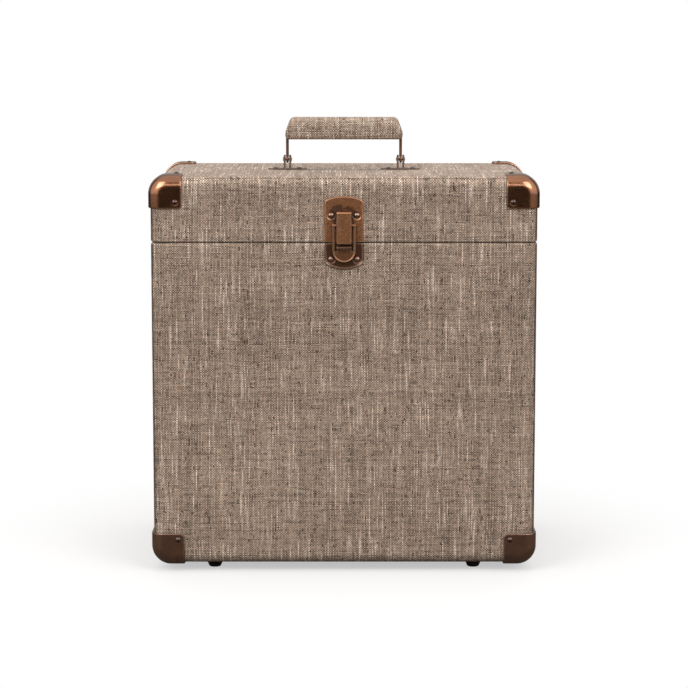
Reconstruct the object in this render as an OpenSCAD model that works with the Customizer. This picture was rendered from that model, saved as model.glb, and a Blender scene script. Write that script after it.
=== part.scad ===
// Cloth-covered carrying case for twelve-inch records.
// Front is -Y, right is +X, up is +Z. The origin is on the floor under the middle of the case.

/* [Case] */
// Width over the cloth, left to right
case_w = 356; // [350:1:380]
// Depth over the cloth, front to back
case_d = 210; // [190:1:240]
// Height over the cloth, without the feet
case_h = 362; // [355:1:390]
// Height of the lid above the split line
lid_h = 60.5; // [58:0.5:80]
// Radius of the four corners seen from the front
corner_r = 16; // [14:0.5:20]
// Radius round the front and back edges
edge_r = 10; // [9:0.5:11]
// Rounding of the two rims at the split line
rim_r = 2; // [1.2:0.1:3]
// Gap between the rims of body and lid
split_gap = 0.4; // [0.3:0.1:0.8]
// Thickness of the wooden boards
board_t = 7; // [6:0.5:9]

/* [Cloth and lining] */
// Thickness of the cloth
cloth_t = 0.8; // [0.5:0.1:1]
// How far the front and back cloths wrap round the edges before the seam
seam_in = 4; // [3:0.5:5]
// Depth of the cloth turned in over the rims
turn_in = 12; // [8:1:16]
// Thickness of the lining paper
lining_t = 1; // [0.6:0.1:1.2]

/* [Corner guards] */
// Length of a guard along each edge, from its own outer faces
guard_reach = 31; // [29:0.5:36]
// How far the guards stand out from the cloth
guard_proud = 2; // [1.6:0.1:2.4]
// Sheet thickness of the guards
guard_t = 1; // [0.8:0.1:1.2]
// Radius of a guard's free corners
guard_corner_r = 3.5; // [2:0.5:5]
// Distance of a guard rivet from the guard's outer faces
guard_rivet_in = 25.2; // [22:0.2:26]

/* [Rivets and screws] */
// Diameter of the guard, handle and hinge rivet heads
rivet_head_d = 5.6; // [4:0.2:7]
// Height of those heads
rivet_head_h = 1.2; // [0.8:0.1:1.5]
// Diameter of every rivet shank
rivet_shank_d = 2.4; // [2:0.1:3]
// Depth of a shank in the board
rivet_bite = 5.6; // [4:0.2:5.8]
// Diameter of the latch rivet heads
latch_rivet_d = 6; // [5:0.2:7]
// Height of the latch rivet heads
latch_rivet_h = 1.7; // [1.2:0.1:2]

/* [Feet] */
// Height of a rubber foot
foot_h = 8; // [6.5:0.5:12]
// Diameter of a foot at the case
foot_top_d = 17.5; // [15:0.5:24]
// Diameter of a foot at the floor
foot_bottom_d = 11.5; // [10:0.5:14]
// Rounding of a foot's lower edge
foot_round = 0.9; // [0.6:0.1:1.2]
// Height of the straight lip at a foot's top
foot_lip = 0.6; // [0.4:0.1:1]
// Distance of a foot's axis from the side of the case
foot_in_x = 56; // [45:1:80]
// Distance of a foot's axis from the front or back of the case
foot_in_y = 25; // [22:1:50]
// Diameter of a foot screw's head
foot_screw_head_d = 5.6; // [5:0.2:6]
// Height of a foot screw's head
foot_screw_head_h = 1.5; // [1:0.1:2]
// Diameter of a foot screw's shank
foot_screw_d = 3; // [2.4:0.1:3.4]

/* [Latch] */
// Width of the upper latch plate
latch_w = 36.4; // [34:0.2:40]
// Height of the upper latch plate
latch_h = 42; // [40:0.5:50]
// Radius of the arch on the upper plate
latch_arch_r = 41.5; // [30:0.5:60]
// Width of the lower catch plate
catch_w = 36; // [34:0.2:40]
// Height of the lower catch plate
catch_h = 22.4; // [22:0.2:30]
// Radius of the arch on the catch plate
catch_arch_r = 30.8; // [25:0.2:60]
// Radius of the plate corners beside each arch
latch_corner_r = 3; // [2:0.5:4]
// Distance of each plate's straight edge from the split line
plate_edge_gap = 2; // [1:0.1:3]
// Sheet thickness of both plates
plate_t = 1; // [0.8:0.1:1.2]
// Width of the raised rim on both plates
plate_rim_w = 1.5; // [1:0.1:2]
// Height of that rim above the plate
plate_rim_h = 0.7; // [0.4:0.1:0.8]
// Spacing of the two rivets in each plate
latch_rivet_span = 23.7; // [23.2:0.1:26]
// Height of the upper rivets above the split line
latch_rivet_up = 25.1; // [23:0.1:27]
// Depth of the catch rivets below the split line
catch_rivet_down = 15.2; // [15:0.1:17]
// Diameter of the dimple round each latch rivet
dimple_d = 8; // [7.4:0.1:8.4]
// Depth of that dimple
dimple_depth = 0.4; // [0.2:0.1:0.6]

/* [Hasp, strap and hook] */
// Height of the hasp's pivot above the split line
pivot_up = 16.1; // [15:0.1:18]
// Radius of the hasp's crossbar
crossbar_r = 1.4; // [1.2:0.1:1.5]
// Running gap between the crossbar and the strap or the plate
crossbar_gap = 0.4; // [0.3:0.1:0.6]
// Width of the hasp
hasp_w = 21.4; // [20.4:0.2:22]
// Width of the hasp's window
hasp_window_w = 17.3; // [16:0.1:17.6]
// Sheet thickness of the hasp
hasp_t = 1.2; // [1:0.1:1.4]
// Height of the raised edge on the hasp
hasp_rim_h = 0.6; // [0.3:0.1:0.7]
// Distance from the pivot down to the lower edge of the window
window_drop = 23.7; // [22:0.1:24]
// Distance from the pivot down to the tip of the thumb tab
tab_drop = 33.9; // [32:0.1:36]
// Width of the spring strap over the hasp
strap_w = 13.3; // [11:0.1:14]
// Thickness of the spring strap
strap_t = 1; // [0.8:0.1:1.2]
// Height of the strap's bent top above the split line
strap_up = 28.7; // [26:0.1:30]
// Distance of the strap's lower end below the split line
strap_down = 0.7; // [0:0.1:0.8]
// Outer radius of the bends on the strap and the hook
bend_r = 1.6; // [1.2:0.1:2]
// Width of the hook on the catch plate
hook_w = 13; // [11:0.1:14]
// Sheet thickness of the hook
hook_t = 1; // [0.8:0.1:1.2]
// Depth of the hook's top below the split line
hook_down = 2.9; // [2.4:0.1:3.4]
// Gap between the hook and the hasp that it holds
hook_gap = 0.3; // [0.2:0.1:0.5]
// Radius of the two ridges that cradle the crossbar
ridge_r = 1.1; // [0.9:0.1:1.2]

/* [Hinges] */
// Distance of each hinge's middle from the side of the case
hinge_in = 66; // [55:1:90]
// Length of a hinge along its pin
hinge_len = 38; // [30:1:50]
// Height of each leaf from the pin
leaf_h = 20; // [18:1:28]
// Sheet thickness of the leaves
leaf_t = 1; // [0.8:0.1:1.2]
// Outer radius of the knuckles
knuckle_r = 2.6; // [2.4:0.1:3]
// Distance of the pin's axis behind the back of the case
hinge_out = 3; // [2.9:0.1:3.4]
// Radius of the hinge pin
hinge_pin_r = 1.3; // [1:0.1:1.5]
// Radius of the domes on a pin's ends
pin_head_r = 2.1; // [1.8:0.1:2.3]
// Height of those domes
pin_head_h = 0.7; // [0.5:0.1:1]
// Running clearance of every pin in its bore
pin_gap = 0.05; // [0.02:0.01:0.1]
// Gap between neighbouring knuckles
knuckle_gap = 0.4; // [0.3:0.1:0.6]
// Radius of the leaf corners
leaf_corner_r = 2; // [1:0.5:3]
// Spacing of the two rivets in each leaf
leaf_rivet_span = 24; // [18:1:30]
// Distance of the leaf rivets from the pin
leaf_rivet_up = 12; // [10:0.5:15]

/* [Handle] */
// Distance of each handle leg in from the end of the grip
leg_in = 1.8; // [1.7:0.1:3]
// Height of the handle's pivots above the lid
handle_pivot_up = 9.8; // [8:0.1:12]
// Height of the grip's underside above the pivots
grip_up = 19.3; // [17:0.1:30]
// Length of the grip
grip_len = 112.4; // [104:0.2:130]
// Depth of the grip, front to back
grip_d = 24; // [20:0.5:28]
// Height of the grip
grip_h = 21.3; // [18:0.1:24]
// How far each end of the grip slants inwards at the top
grip_slant = 5.2; // [3:0.1:7]
// Radius of the grip's lower edges
grip_edge_r = 4; // [3:0.5:5]
// Radius of the grip's upper corners
grip_corner_r = 3.5; // [2:0.5:6]
// Radius of the grip's ends seen from above
grip_end_r = 7; // [5:0.5:9]
// Thickness of the cloth and padding round the grip core
grip_cloth_t = 1.2; // [0.8:0.1:1.6]
// Radius of the bail wire
wire_r = 1.4; // [1.2:0.1:1.6]
// Bend radius of the bail wire, at its axis
wire_bend_r = 5; // [4:0.5:7]
// Radius of the eye at the end of each leg
eye_r = 3.5; // [3:0.1:4]
// Thickness of the flattened eye
eye_t = 2.2; // [1.8:0.1:2.3]
// Radius of the pivot rivets in the brackets
pivot_r = 1.5; // [1.2:0.1:1.8]
// Radius of a pivot rivet's heads
pivot_head_r = 2.6; // [2.2:0.1:3]
// Height of a pivot rivet's heads
pivot_head_h = 0.9; // [0.6:0.1:1.2]
// Sheet thickness of the bracket ears
ear_t = 1.8; // [1.4:0.1:2.2]
// Gap between a leg and each ear
ear_gap = 0.35; // [0.3:0.05:0.6]
// Radius of an ear's rounded top
ear_r = 4.2; // [3.8:0.1:5]
// Width of an ear at its foot
ear_foot_w = 12; // [10:0.5:14]
// Length of a bracket's foot plate
bracket_len = 39.5; // [36:0.5:44]
// Width of a bracket's foot plate
bracket_w = 15; // [13:0.5:18]
// Thickness of a bracket's foot plate
bracket_t = 1; // [0.8:0.1:1.5]
// Blunted length at each pointed end of a foot plate
bracket_blunt = 1; // [0.5:0.1:2]
// Distance of the bracket rivets from the leg
bracket_rivet_x = 11.4; // [10:0.1:13]

/* [Hidden] */
$fn = 64;
split_z = foot_h + case_h - lid_h;
top_z = foot_h + case_h;
body_half_h = case_h - lid_h - split_gap / 2;
lid_half_h = lid_h - split_gap / 2;
wall = cloth_t + board_t;
clear_in = wall + lining_t;
guard_end_h = guard_reach + corner_r;
latch_rivet_x = latch_rivet_span / 2;
pivot_z = split_z + pivot_up;
pivot_out = plate_t + crossbar_gap + crossbar_r;
strap_in = pivot_out + crossbar_r + crossbar_gap;
strap_z0 = split_z - strap_down;
strap_z1 = split_z + strap_up;
slot_h = 4 * strap_t;
hasp_back = pivot_out - hasp_t / 2;
hasp_front = pivot_out + hasp_t / 2 + hasp_rim_h;
arm_w = (hasp_w - hasp_window_w) / 2;
window_z = pivot_z - window_drop;
tab_z = pivot_z - tab_drop;
hook_in = hasp_front + hook_gap;
hook_z1 = split_z - hook_down;
hook_z0 = window_z + hook_gap;
ridge_dz = crossbar_r + ridge_r - crossbar_gap / 2;
hinge_x = case_w / 2 - hinge_in;
hinge_bore_r = hinge_pin_r + pin_gap;
knuckle_len = (hinge_len - 2 * knuckle_gap) / 3;
pivot_bore_r = pivot_r + pin_gap;
leg_x = grip_len / 2 - leg_in;
handle_z = top_z + handle_pivot_up;
grip_z = handle_z + grip_up;
crossbar_z = grip_z + grip_h / 2;
ear_x = wire_r + ear_gap;

cloth_colour = [0.60, 0.54, 0.48];
board_colour = [0.72, 0.56, 0.38];
lining_colour = [0.16, 0.13, 0.12];
copper_colour = [0.45, 0.25, 0.15];
dark_copper_colour = [0.25, 0.16, 0.12];
rubber_colour = [0.12, 0.10, 0.09];

// Places and directions

module in_body() translate([0, 0, foot_h]) children();

module in_lid() translate([0, 0, top_z]) mirror([0, 0, 1]) children();

// Draws on the front of the case: x to the right, y up, z outwards
module on_front() translate([0, -case_d / 2, 0]) rotate([90, 0, 0]) children();

// Draws on the back of the case: x to the left, y up, z outwards
module on_back() translate([0, case_d / 2, 0]) rotate([90, 0, 180]) children();

// Extrudes a profile drawn in y and z along x
module along_x(length) rotate([90, 0, 90]) linear_extrude(length, center = true) children();

// Extrudes a profile drawn in x and z along y
module along_y(length) rotate([90, 0, 0]) linear_extrude(length, center = true) children();

// Repeats a front right piece at another corner
module at_corner(side, face)
    mirror([side < 0 ? 1 : 0, 0, 0]) mirror([0, face > 0 ? 1 : 0, 0]) children();

module at_all_corners()
    for (side = [-1, 1], face = [-1, 1]) at_corner(side, face) children();

// Flat shapes

module rounded_rect(w, h, r) {
    square([w - 2 * r, h], center = true);
    square([w, h - 2 * r], center = true);
    for (x = [-1, 1], y = [-1, 1]) translate([x * (w / 2 - r), y * (h / 2 - r)]) circle(r = r);
}

// Stands on the first axis, with its two upper corners rounded
module top_rounded(w, h, r) intersection() {
    union() {
        translate([r - w / 2, 0]) square([w - 2 * r, h]);
        if (h > r) translate([-w / 2, 0]) square([w, h - r]);
        for (x = [-1, 1]) translate([x * (w / 2 - r), h - r]) circle(r = r);
    }
    translate([-w, 0]) square([2 * w, 2 * h]);
}

// Fills a quadrant with its corner at the origin rounded
module rounded_quadrant(length, r) {
    translate([r, 0]) square([length - r, length]);
    translate([0, r]) square([length, length - r]);
    translate([r, r]) circle(r = r);
}

// Plate with straight sides and foot, an arched top of radius arch_r and rounded shoulders
module arched_plate(w, h, arch_r, r) {
    centre = h - arch_r;
    shoulder = sqrt(pow(arch_r - r, 2) - pow(w / 2 - r, 2));
    translate([-w / 2, 0]) square([w, centre + shoulder]);
    for (x = [-1, 1]) translate([x * (w / 2 - r), centre + shoulder]) circle(r = r);
    translate([0, centre]) intersection() {
        circle(r = arch_r);
        polygon([[0, 0], [w - 2 * r, 2 * shoulder], [2 * r - w, 2 * shoulder]]);
        translate([-w, -centre]) square([2 * w, 2 * h]);
    }
}

// One half of the case as a solid, closed end down and rim up

module closed_end(inset, height) {
    w = case_w - 2 * inset;
    d = case_d - 2 * inset;
    end_r = corner_r - inset;
    side_r = edge_r - inset;
    translate([0, 0, corner_r]) {
        linear_extrude(height - corner_r) rounded_rect(w, d, side_r);
        along_x(w - 2 * end_r) mirror([0, 1]) top_rounded(d, end_r, side_r);
        for (side = [0, 1]) mirror([side, 0, 0]) translate([w / 2 - end_r, 0, 0])
            rotate([90, 0, 0]) rotate([0, 0, -90]) rotate_extrude(angle = 90) intersection() {
                rounded_rect(2 * end_r, d, side_r);
                translate([0, -d]) square([2 * end_r, 2 * d]);
            }
    }
}

module rim_band(inset, r) {
    w = case_w - 2 * inset;
    d = case_d - 2 * inset;
    side_r = edge_r - inset;
    along_x(w - 2 * side_r) top_rounded(d, r, r);
    along_y(d - 2 * side_r) top_rounded(w, r, r);
    for (x = [-1, 1], y = [-1, 1]) translate([x * (w / 2 - side_r), y * (d / 2 - side_r), 0])
        rotate([0, 0, (x > 0 ? 0 : 90) + (x * y > 0 ? 0 : x > 0 ? -90 : 0) + (x < 0 && y < 0 ? 90 : 0)])
            rotate_extrude(angle = 90) intersection() {
                top_rounded(2 * side_r, r, r);
                square([2 * side_r, 2 * r]);
            }
}

module half_form(height, inset) {
    r = rim_r - inset;
    closed_end(inset, height - inset - r);
    translate([0, 0, height - inset - r]) rim_band(inset, r);
}

// Room inside the walls, from the closed end up past the rim
module half_room(height, inset, floor_z)
    translate([inset - case_w / 2, inset - case_d / 2, floor_z])
        cube([case_w - 2 * inset, case_d - 2 * inset, height]);

// Boards

module half_boards(height) difference() {
    half_form(height, cloth_t);
    half_room(height, wall, wall);
}

// The layer between two depths behind the front or the back of the case
module face_layer(face, from, to)
    translate([-case_w, face > 0 ? case_d / 2 - to : from - case_d / 2, -corner_r])
        cube([2 * case_w, to - from, 2 * case_h]);

module face_board(height, face) intersection() {
    half_boards(height);
    face_layer(face, 0, wall);
}

// The end board meets the side boards in a mitre
module end_board(height) intersection() {
    half_boards(height);
    face_layer(-1, wall, case_d - wall);
    along_y(2 * case_d) polygon([[-case_w / 2 - wall, -wall], [case_w / 2 + wall, -wall],
        [case_w / 2 - wall, wall], [wall - case_w / 2, wall]]);
}

module side_board(height, side) intersection() {
    half_boards(height);
    face_layer(-1, wall, case_d - wall);
    mirror([side < 0 ? 1 : 0, 0, 0]) along_y(2 * case_d) polygon([[case_w / 2 + wall, -wall],
        [case_w / 2 + wall, height], [case_w / 2 - wall, height], [case_w / 2 - wall, wall]]);
}

// Cloth

module half_cloth(height) {
    difference() {
        half_form(height, 0);
        half_form(height, cloth_t);
        half_room(height, wall + cloth_t, wall);
    }
    translate([0, 0, height - turn_in]) linear_extrude(turn_in - cloth_t) difference() {
        square([case_w - 2 * wall, case_d - 2 * wall], center = true);
        square([case_w - 2 * (wall + cloth_t), case_d - 2 * (wall + cloth_t)], center = true);
    }
}

// Everything that the front cloth covers: the face, its wrapped edges and its mitred turn-in
module front_cloth_zone(height) {
    reach = wall + cloth_t;
    face_layer(-1, -corner_r, seam_in);
    translate([0, -case_d / 2, height - turn_in]) linear_extrude(turn_in + rim_r)
        polygon([[seam_in - case_w / 2, 0], [case_w / 2 - seam_in, 0],
            [case_w / 2 - seam_in, seam_in], [case_w / 2 - reach, reach],
            [reach - case_w / 2, reach], [seam_in - case_w / 2, seam_in]]);
}

module face_cloth(height, face) intersection() {
    half_cloth(height);
    mirror([0, face > 0 ? 1 : 0, 0]) front_cloth_zone(height);
}

module wrap_cloth(height) difference() {
    half_cloth(height);
    front_cloth_zone(height);
    mirror([0, 1, 0]) front_cloth_zone(height);
}

// Lining

module wall_lining(height) translate([0, 0, clear_in]) linear_extrude(height - turn_in - clear_in)
    difference() {
        square([case_w - 2 * wall, case_d - 2 * wall], center = true);
        square([case_w - 2 * clear_in, case_d - 2 * clear_in], center = true);
    }

module end_lining() translate([0, 0, wall]) linear_extrude(lining_t)
    square([case_w - 2 * wall, case_d - 2 * wall], center = true);

// Rivets

module dome(d, h) {
    ball_r = (pow(d / 2, 2) + pow(h, 2)) / (2 * h);
    intersection() {
        translate([0, 0, h - ball_r]) sphere(r = ball_r);
        cylinder(d = d, h = h);
    }
}

// Domed rivet standing on z = 0, with its shank below
module rivet(head_d, head_h, shank_l, heads) {
    if (heads) dome(head_d, head_h);
    translate([0, 0, -shank_l]) cylinder(d = rivet_shank_d, h = shank_l);
}

// Pin along z with a dome on each end
module domed_pin(r, length, head_r, head_h) {
    cylinder(r = r, h = length, center = true);
    for (end = [0, 1]) mirror([0, 0, end]) translate([0, 0, length / 2]) dome(2 * head_r, head_h);
}

module small_rivet(sheet_t, heads)
    rivet(rivet_head_d, rivet_head_h, sheet_t + cloth_t + rivet_bite, heads);

module guard_rivets(heads) at_all_corners() {
    x = case_w / 2 + guard_proud - guard_rivet_in;
    y = case_d / 2 + guard_proud - guard_rivet_in;
    z = guard_rivet_in - guard_proud;
    translate([x, -case_d / 2 - guard_proud, z]) rotate([90, 0, 0]) small_rivet(guard_proud, heads);
    translate([case_w / 2 + guard_proud, -y, z]) rotate([0, 90, 0]) small_rivet(guard_proud, heads);
    translate([x, -y, -guard_proud]) rotate([180, 0, 0]) small_rivet(guard_proud, heads);
}

module plate_rivets(z, heads) on_front()
    for (x = [-1, 1]) translate([x * latch_rivet_x, z, plate_t - dimple_depth])
        rivet(latch_rivet_d, latch_rivet_h, plate_t - dimple_depth + cloth_t + rivet_bite, heads);

module leaf_rivets(up, heads) on_back()
    for (x = [-1, 1], side = [-1, 1])
        translate([side * hinge_x + x * leaf_rivet_span / 2, split_z + up * leaf_rivet_up, leaf_t])
            small_rivet(leaf_t, heads);

module bracket_rivets(heads)
    for (side = [-1, 1], x = [-1, 1])
        translate([side * leg_x + x * bracket_rivet_x, 0, top_z + bracket_t])
            small_rivet(bracket_t, heads);

module at_feet() for (side = [-1, 1], face = [-1, 1])
    translate([side * (case_w / 2 - foot_in_x), face * (case_d / 2 - foot_in_y), 0]) children();

module screws(heads) at_feet() translate([0, 0, foot_h / 2]) {
    if (heads) translate([0, 0, -foot_screw_head_h]) cylinder(d = foot_screw_head_d, h = foot_screw_head_h);
    cylinder(d = foot_screw_d, h = foot_h / 2 + cloth_t + rivet_bite);
}

module body_shanks() {
    in_body() guard_rivets(false);
    plate_rivets(split_z - catch_rivet_down, false);
    leaf_rivets(-1, false);
    screws(false);
}

module lid_shanks() {
    in_lid() guard_rivets(false);
    plate_rivets(split_z + latch_rivet_up, false);
    leaf_rivets(1, false);
    bracket_rivets(false);
}

module in_drilled_body() difference() {
    in_body() children();
    body_shanks();
}

module in_drilled_lid() difference() {
    in_lid() children();
    lid_shanks();
}

// Corner guards

// Corner block that reaches back from a guard's outer faces, less a margin at its free edges
module guard_block(margin) {
    reach = guard_reach - margin;
    r = guard_corner_r - margin;
    translate([case_w / 2 + guard_proud - reach, reach - guard_proud - case_d / 2, reach - guard_proud])
        mirror([0, 1, 0]) mirror([0, 0, 1]) intersection() {
            linear_extrude(2 * reach) rounded_quadrant(2 * reach, r);
            rotate([90, 0, 90]) linear_extrude(2 * reach) rounded_quadrant(2 * reach, r);
            translate([0, 2 * reach, 0]) rotate([90, 0, 0]) linear_extrude(2 * reach)
                rounded_quadrant(2 * reach, r);
        }
}

// Stamped three-way cup with its edge turned down on the cloth
module corner_guard(side, face) difference() {
    at_corner(side, face) difference() {
        intersection() {
            closed_end(-guard_proud, guard_end_h);
            guard_block(0);
        }
        closed_end(0, 2 * guard_end_h);
        intersection() {
            closed_end(guard_t - guard_proud, 2 * guard_end_h);
            guard_block(guard_t);
        }
    }
    guard_rivets(false);
}

// Feet

module foot(side, face) difference() {
    low_r = foot_bottom_d / 2;
    top_r = foot_top_d / 2;
    translate([side * (case_w / 2 - foot_in_x), face * (case_d / 2 - foot_in_y), 0])
        rotate_extrude() polygon([[0, 0], [low_r - foot_round, 0],
            [low_r - foot_round * 0.3, foot_round * 0.3], [low_r, foot_round],
            [top_r - foot_lip / 2, foot_h - 2 * foot_lip], [top_r, foot_h - foot_lip],
            [top_r, foot_h], [0, foot_h]]);
    at_feet() translate([0, 0, -foot_h / 2])
        cylinder(d = foot_screw_head_d + 2 * pin_gap, h = foot_h);
    screws(false);
}

// Latch

module plate_with_rim(w, h, arch_r) {
    linear_extrude(plate_t) arched_plate(w, h, arch_r, latch_corner_r);
    translate([0, 0, plate_t]) linear_extrude(plate_rim_h) difference() {
        arched_plate(w, h, arch_r, latch_corner_r);
        translate([0, -plate_rim_w]) arched_plate(w - 2 * plate_rim_w, h,
            arch_r - plate_rim_w, latch_corner_r - plate_rim_w);
    }
}

module dimples(z) for (x = [-1, 1])
    translate([x * latch_rivet_x, z, plate_t - dimple_depth]) cylinder(d = dimple_d, h = plate_t);

// Bent strip drawn in z (first) and outwards (second), as a leg out of the plate and a leg along it
module bent_strip(w, t, out, length)
    along_x(w) difference() {
        union() {
            translate([-bend_r, 0]) square([bend_r, out - bend_r]);
            translate([-length, out - bend_r]) square([length - bend_r, bend_r]);
            translate([-bend_r, out - bend_r]) circle(r = bend_r);
        }
        translate([-2 * length, -out]) square([2 * length - bend_r, 2 * out - t]);
        translate([-2 * length, -out]) square([2 * length - t, 2 * out - bend_r]);
        translate([-bend_r, out - bend_r]) circle(r = bend_r - t);
    }

module latch_plate_body() difference() {
    on_front() difference() {
        union() {
            translate([0, split_z + plate_edge_gap / 2, 0]) plate_with_rim(latch_w, latch_h, latch_arch_r);
            for (z = [-1, 1]) translate([0, pivot_z + z * ridge_dz, plate_t]) rotate([0, 90, 0])
                cylinder(r = ridge_r, h = strap_w, center = true);
        }
        translate([-latch_w, 0, -2 * ridge_r]) cube([2 * latch_w, top_z, 2 * ridge_r]);
        dimples(split_z + latch_rivet_up);
        translate([-strap_w / 2, strap_z1 - strap_t, -plate_t]) cube([strap_w, slot_h, 3 * plate_t]);
    }
    lid_shanks();
}

module strap_body() on_front() translate([0, strap_z1, 0])
    bent_strip(strap_w, strap_t, strap_in + strap_t, strap_z1 - strap_z0);

// Frame with a window and a round thumb tab, hung on its own crossbar
module hasp_outline(margin) {
    r = hasp_w / 2 - margin;
    translate([-r, tab_z + hasp_w / 2]) square([2 * r, pivot_z - tab_z - hasp_w / 2]);
    translate([0, tab_z + hasp_w / 2]) circle(r = r);
}

module hasp_window() translate([-hasp_window_w / 2, window_z])
    square([hasp_window_w, pivot_z - window_z + crossbar_r]);

module hasp_body() on_front() {
    translate([0, 0, hasp_back]) linear_extrude(hasp_t) difference() {
        hasp_outline(0);
        hasp_window();
    }
    translate([0, 0, hasp_back + hasp_t]) linear_extrude(hasp_rim_h) difference() {
        hasp_outline(0);
        hasp_outline(arm_w / 2);
        hasp_window();
    }
    translate([0, pivot_z, pivot_out]) rotate([0, 90, 0])
        cylinder(r = crossbar_r, h = hasp_w, center = true);
}

module catch_body() difference() {
    on_front() difference() {
        union() {
            translate([0, split_z - plate_edge_gap, 0]) mirror([0, 1, 0])
                plate_with_rim(catch_w, catch_h, catch_arch_r);
            translate([0, hook_z1, 0])
                bent_strip(hook_w, hook_t, hook_in + hook_t, hook_z1 - hook_z0);
        }
        dimples(split_z - catch_rivet_down);
    }
    body_shanks();
}

// Hinges

// Leaf of one hinge, drawn upwards from the pin's axis; odd knuckles are its own
module hinge_leaf(side, up, middle) difference() {
    on_back() translate([-side * hinge_x, split_z, 0]) mirror([0, up < 0 ? 1 : 0, 0]) difference() {
        union() {
            difference() {
                translate([0, leaf_h / 2, 0]) linear_extrude(leaf_t)
                    rounded_rect(hinge_len, leaf_h, leaf_corner_r);
                for (i = [-1, 0, 1]) if ((i == 0) != middle)
                    translate([i * (knuckle_len + knuckle_gap), 0, 0])
                        cube([knuckle_len + 2 * knuckle_gap, 2 * (knuckle_r + knuckle_gap), 4 * leaf_t],
                            center = true);
            }
            for (i = [-1, 0, 1]) if ((i == 0) == middle)
                translate([i * (knuckle_len + knuckle_gap), 0, hinge_out]) rotate([0, 90, 0])
                    cylinder(r = knuckle_r, h = knuckle_len, center = true);
        }
        translate([0, 0, hinge_out]) rotate([0, 90, 0])
            cylinder(r = hinge_bore_r, h = 2 * hinge_len, center = true);
    }
    leaf_rivets(up, false);
}

module hinge_pin(side) translate([side * hinge_x, case_d / 2 + hinge_out, split_z])
    rotate([0, 90, 0]) domed_pin(hinge_pin_r, hinge_len, pin_head_r, pin_head_h);

// Handle

module bracket_outline() {
    half_w = bracket_w / 2;
    lens_r = (pow(bracket_len / 2, 2) + pow(half_w, 2)) / bracket_w;
    intersection() {
        translate([0, lens_r - half_w]) circle(r = lens_r);
        translate([0, half_w - lens_r]) circle(r = lens_r);
        square([bracket_len - 2 * bracket_blunt, bracket_w], center = true);
    }
}

module bracket(side) difference() {
    translate([side * leg_x, 0, top_z]) {
        linear_extrude(bracket_t) bracket_outline();
        for (x = [-1, 1]) translate([x * (ear_x + ear_t / 2), 0, 0]) along_x(ear_t) {
            translate([0, handle_pivot_up]) circle(r = ear_r);
            polygon([[-ear_foot_w / 2, 0], [ear_foot_w / 2, 0], [ear_r, handle_pivot_up],
                [-ear_r, handle_pivot_up]]);
        }
    }
    translate([side * leg_x, 0, handle_z]) rotate([0, 90, 0])
        cylinder(r = pivot_r, h = bracket_len, center = true);
    bracket_rivets(false);
}

module pivot(side) translate([side * leg_x, 0, handle_z])
    rotate([0, 90, 0]) domed_pin(pivot_r, 2 * (ear_x + ear_t), pivot_head_r, pivot_head_h);

// Bent wire: an eye and a leg on each side, and a bar through the grip
module bail_wire() {
    bar_len = 2 * (leg_x - wire_bend_r);
    leg_z = handle_z + (eye_r + pivot_bore_r) / 2;
    translate([0, 0, crossbar_z]) rotate([0, 90, 0]) cylinder(r = wire_r, h = bar_len, center = true);
    for (side = [0, 1]) mirror([side, 0, 0]) {
        translate([leg_x - wire_bend_r, 0, crossbar_z - wire_bend_r]) rotate([90, 0, 0])
            rotate_extrude(angle = 90) translate([wire_bend_r, 0]) circle(r = wire_r);
        translate([leg_x, 0, leg_z]) cylinder(r = wire_r, h = crossbar_z - wire_bend_r - leg_z);
    }
}

module bail_body() difference() {
    union() {
        bail_wire();
        for (side = [-1, 1]) translate([side * leg_x, 0, handle_z]) rotate([0, 90, 0])
            cylinder(r = eye_r, h = eye_t, center = true);
    }
    for (side = [-1, 1]) translate([side * leg_x, 0, handle_z]) rotate([0, 90, 0])
        cylinder(r = pivot_bore_r, h = 4 * wire_r, center = true);
}

// Loaf-shaped grip: the meeting of its outlines from the end, the front and above
module grip_form(inset) intersection() {
    half_len = grip_len / 2 - inset;
    d = grip_d - 2 * inset;
    edge = grip_edge_r - inset;
    corner = grip_corner_r - inset;
    low = grip_z + inset;
    high = grip_z + grip_h - inset;
    round_z = grip_z + grip_h - grip_d / 2;
    shoulder_z = grip_z + grip_h / 3;
    top_half = half_len - grip_slant;
    along_x(2 * grip_len) {
        translate([0, round_z]) circle(d = d);
        translate([0, round_z]) mirror([0, 1]) top_rounded(d, round_z - low, edge);
    }
    along_y(2 * grip_d) {
        polygon([[-half_len, low + corner], [corner - half_len, low], [half_len - corner, low],
            [half_len, low + corner], [half_len, shoulder_z], [top_half, high - corner],
            [top_half - corner, high], [corner - top_half, high], [-top_half, high - corner],
            [-half_len, shoulder_z]]);
        for (x = [-1, 1]) translate([x * (top_half - corner), high - corner]) circle(r = corner);
    }
    translate([0, 0, grip_z - grip_h / 2]) linear_extrude(2 * grip_h)
        rounded_rect(2 * half_len, d, grip_end_r - inset);
}

// Sub-parts

module body_front_board() color(board_colour) in_drilled_body() face_board(body_half_h, -1);
module body_back_board() color(board_colour) in_drilled_body() face_board(body_half_h, 1);
module body_left_board() color(board_colour) in_drilled_body() side_board(body_half_h, -1);
module body_right_board() color(board_colour) in_drilled_body() side_board(body_half_h, 1);
module body_bottom_board() color(board_colour) in_drilled_body() end_board(body_half_h);
module body_wrap_cloth() color(cloth_colour) in_drilled_body() wrap_cloth(body_half_h);
module body_front_cloth() color(cloth_colour) in_drilled_body() face_cloth(body_half_h, -1);
module body_back_cloth() color(cloth_colour) in_drilled_body() face_cloth(body_half_h, 1);
module body_wall_lining() color(lining_colour) in_body() wall_lining(body_half_h);
module body_floor_lining() color(lining_colour) in_body() end_lining();

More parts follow.
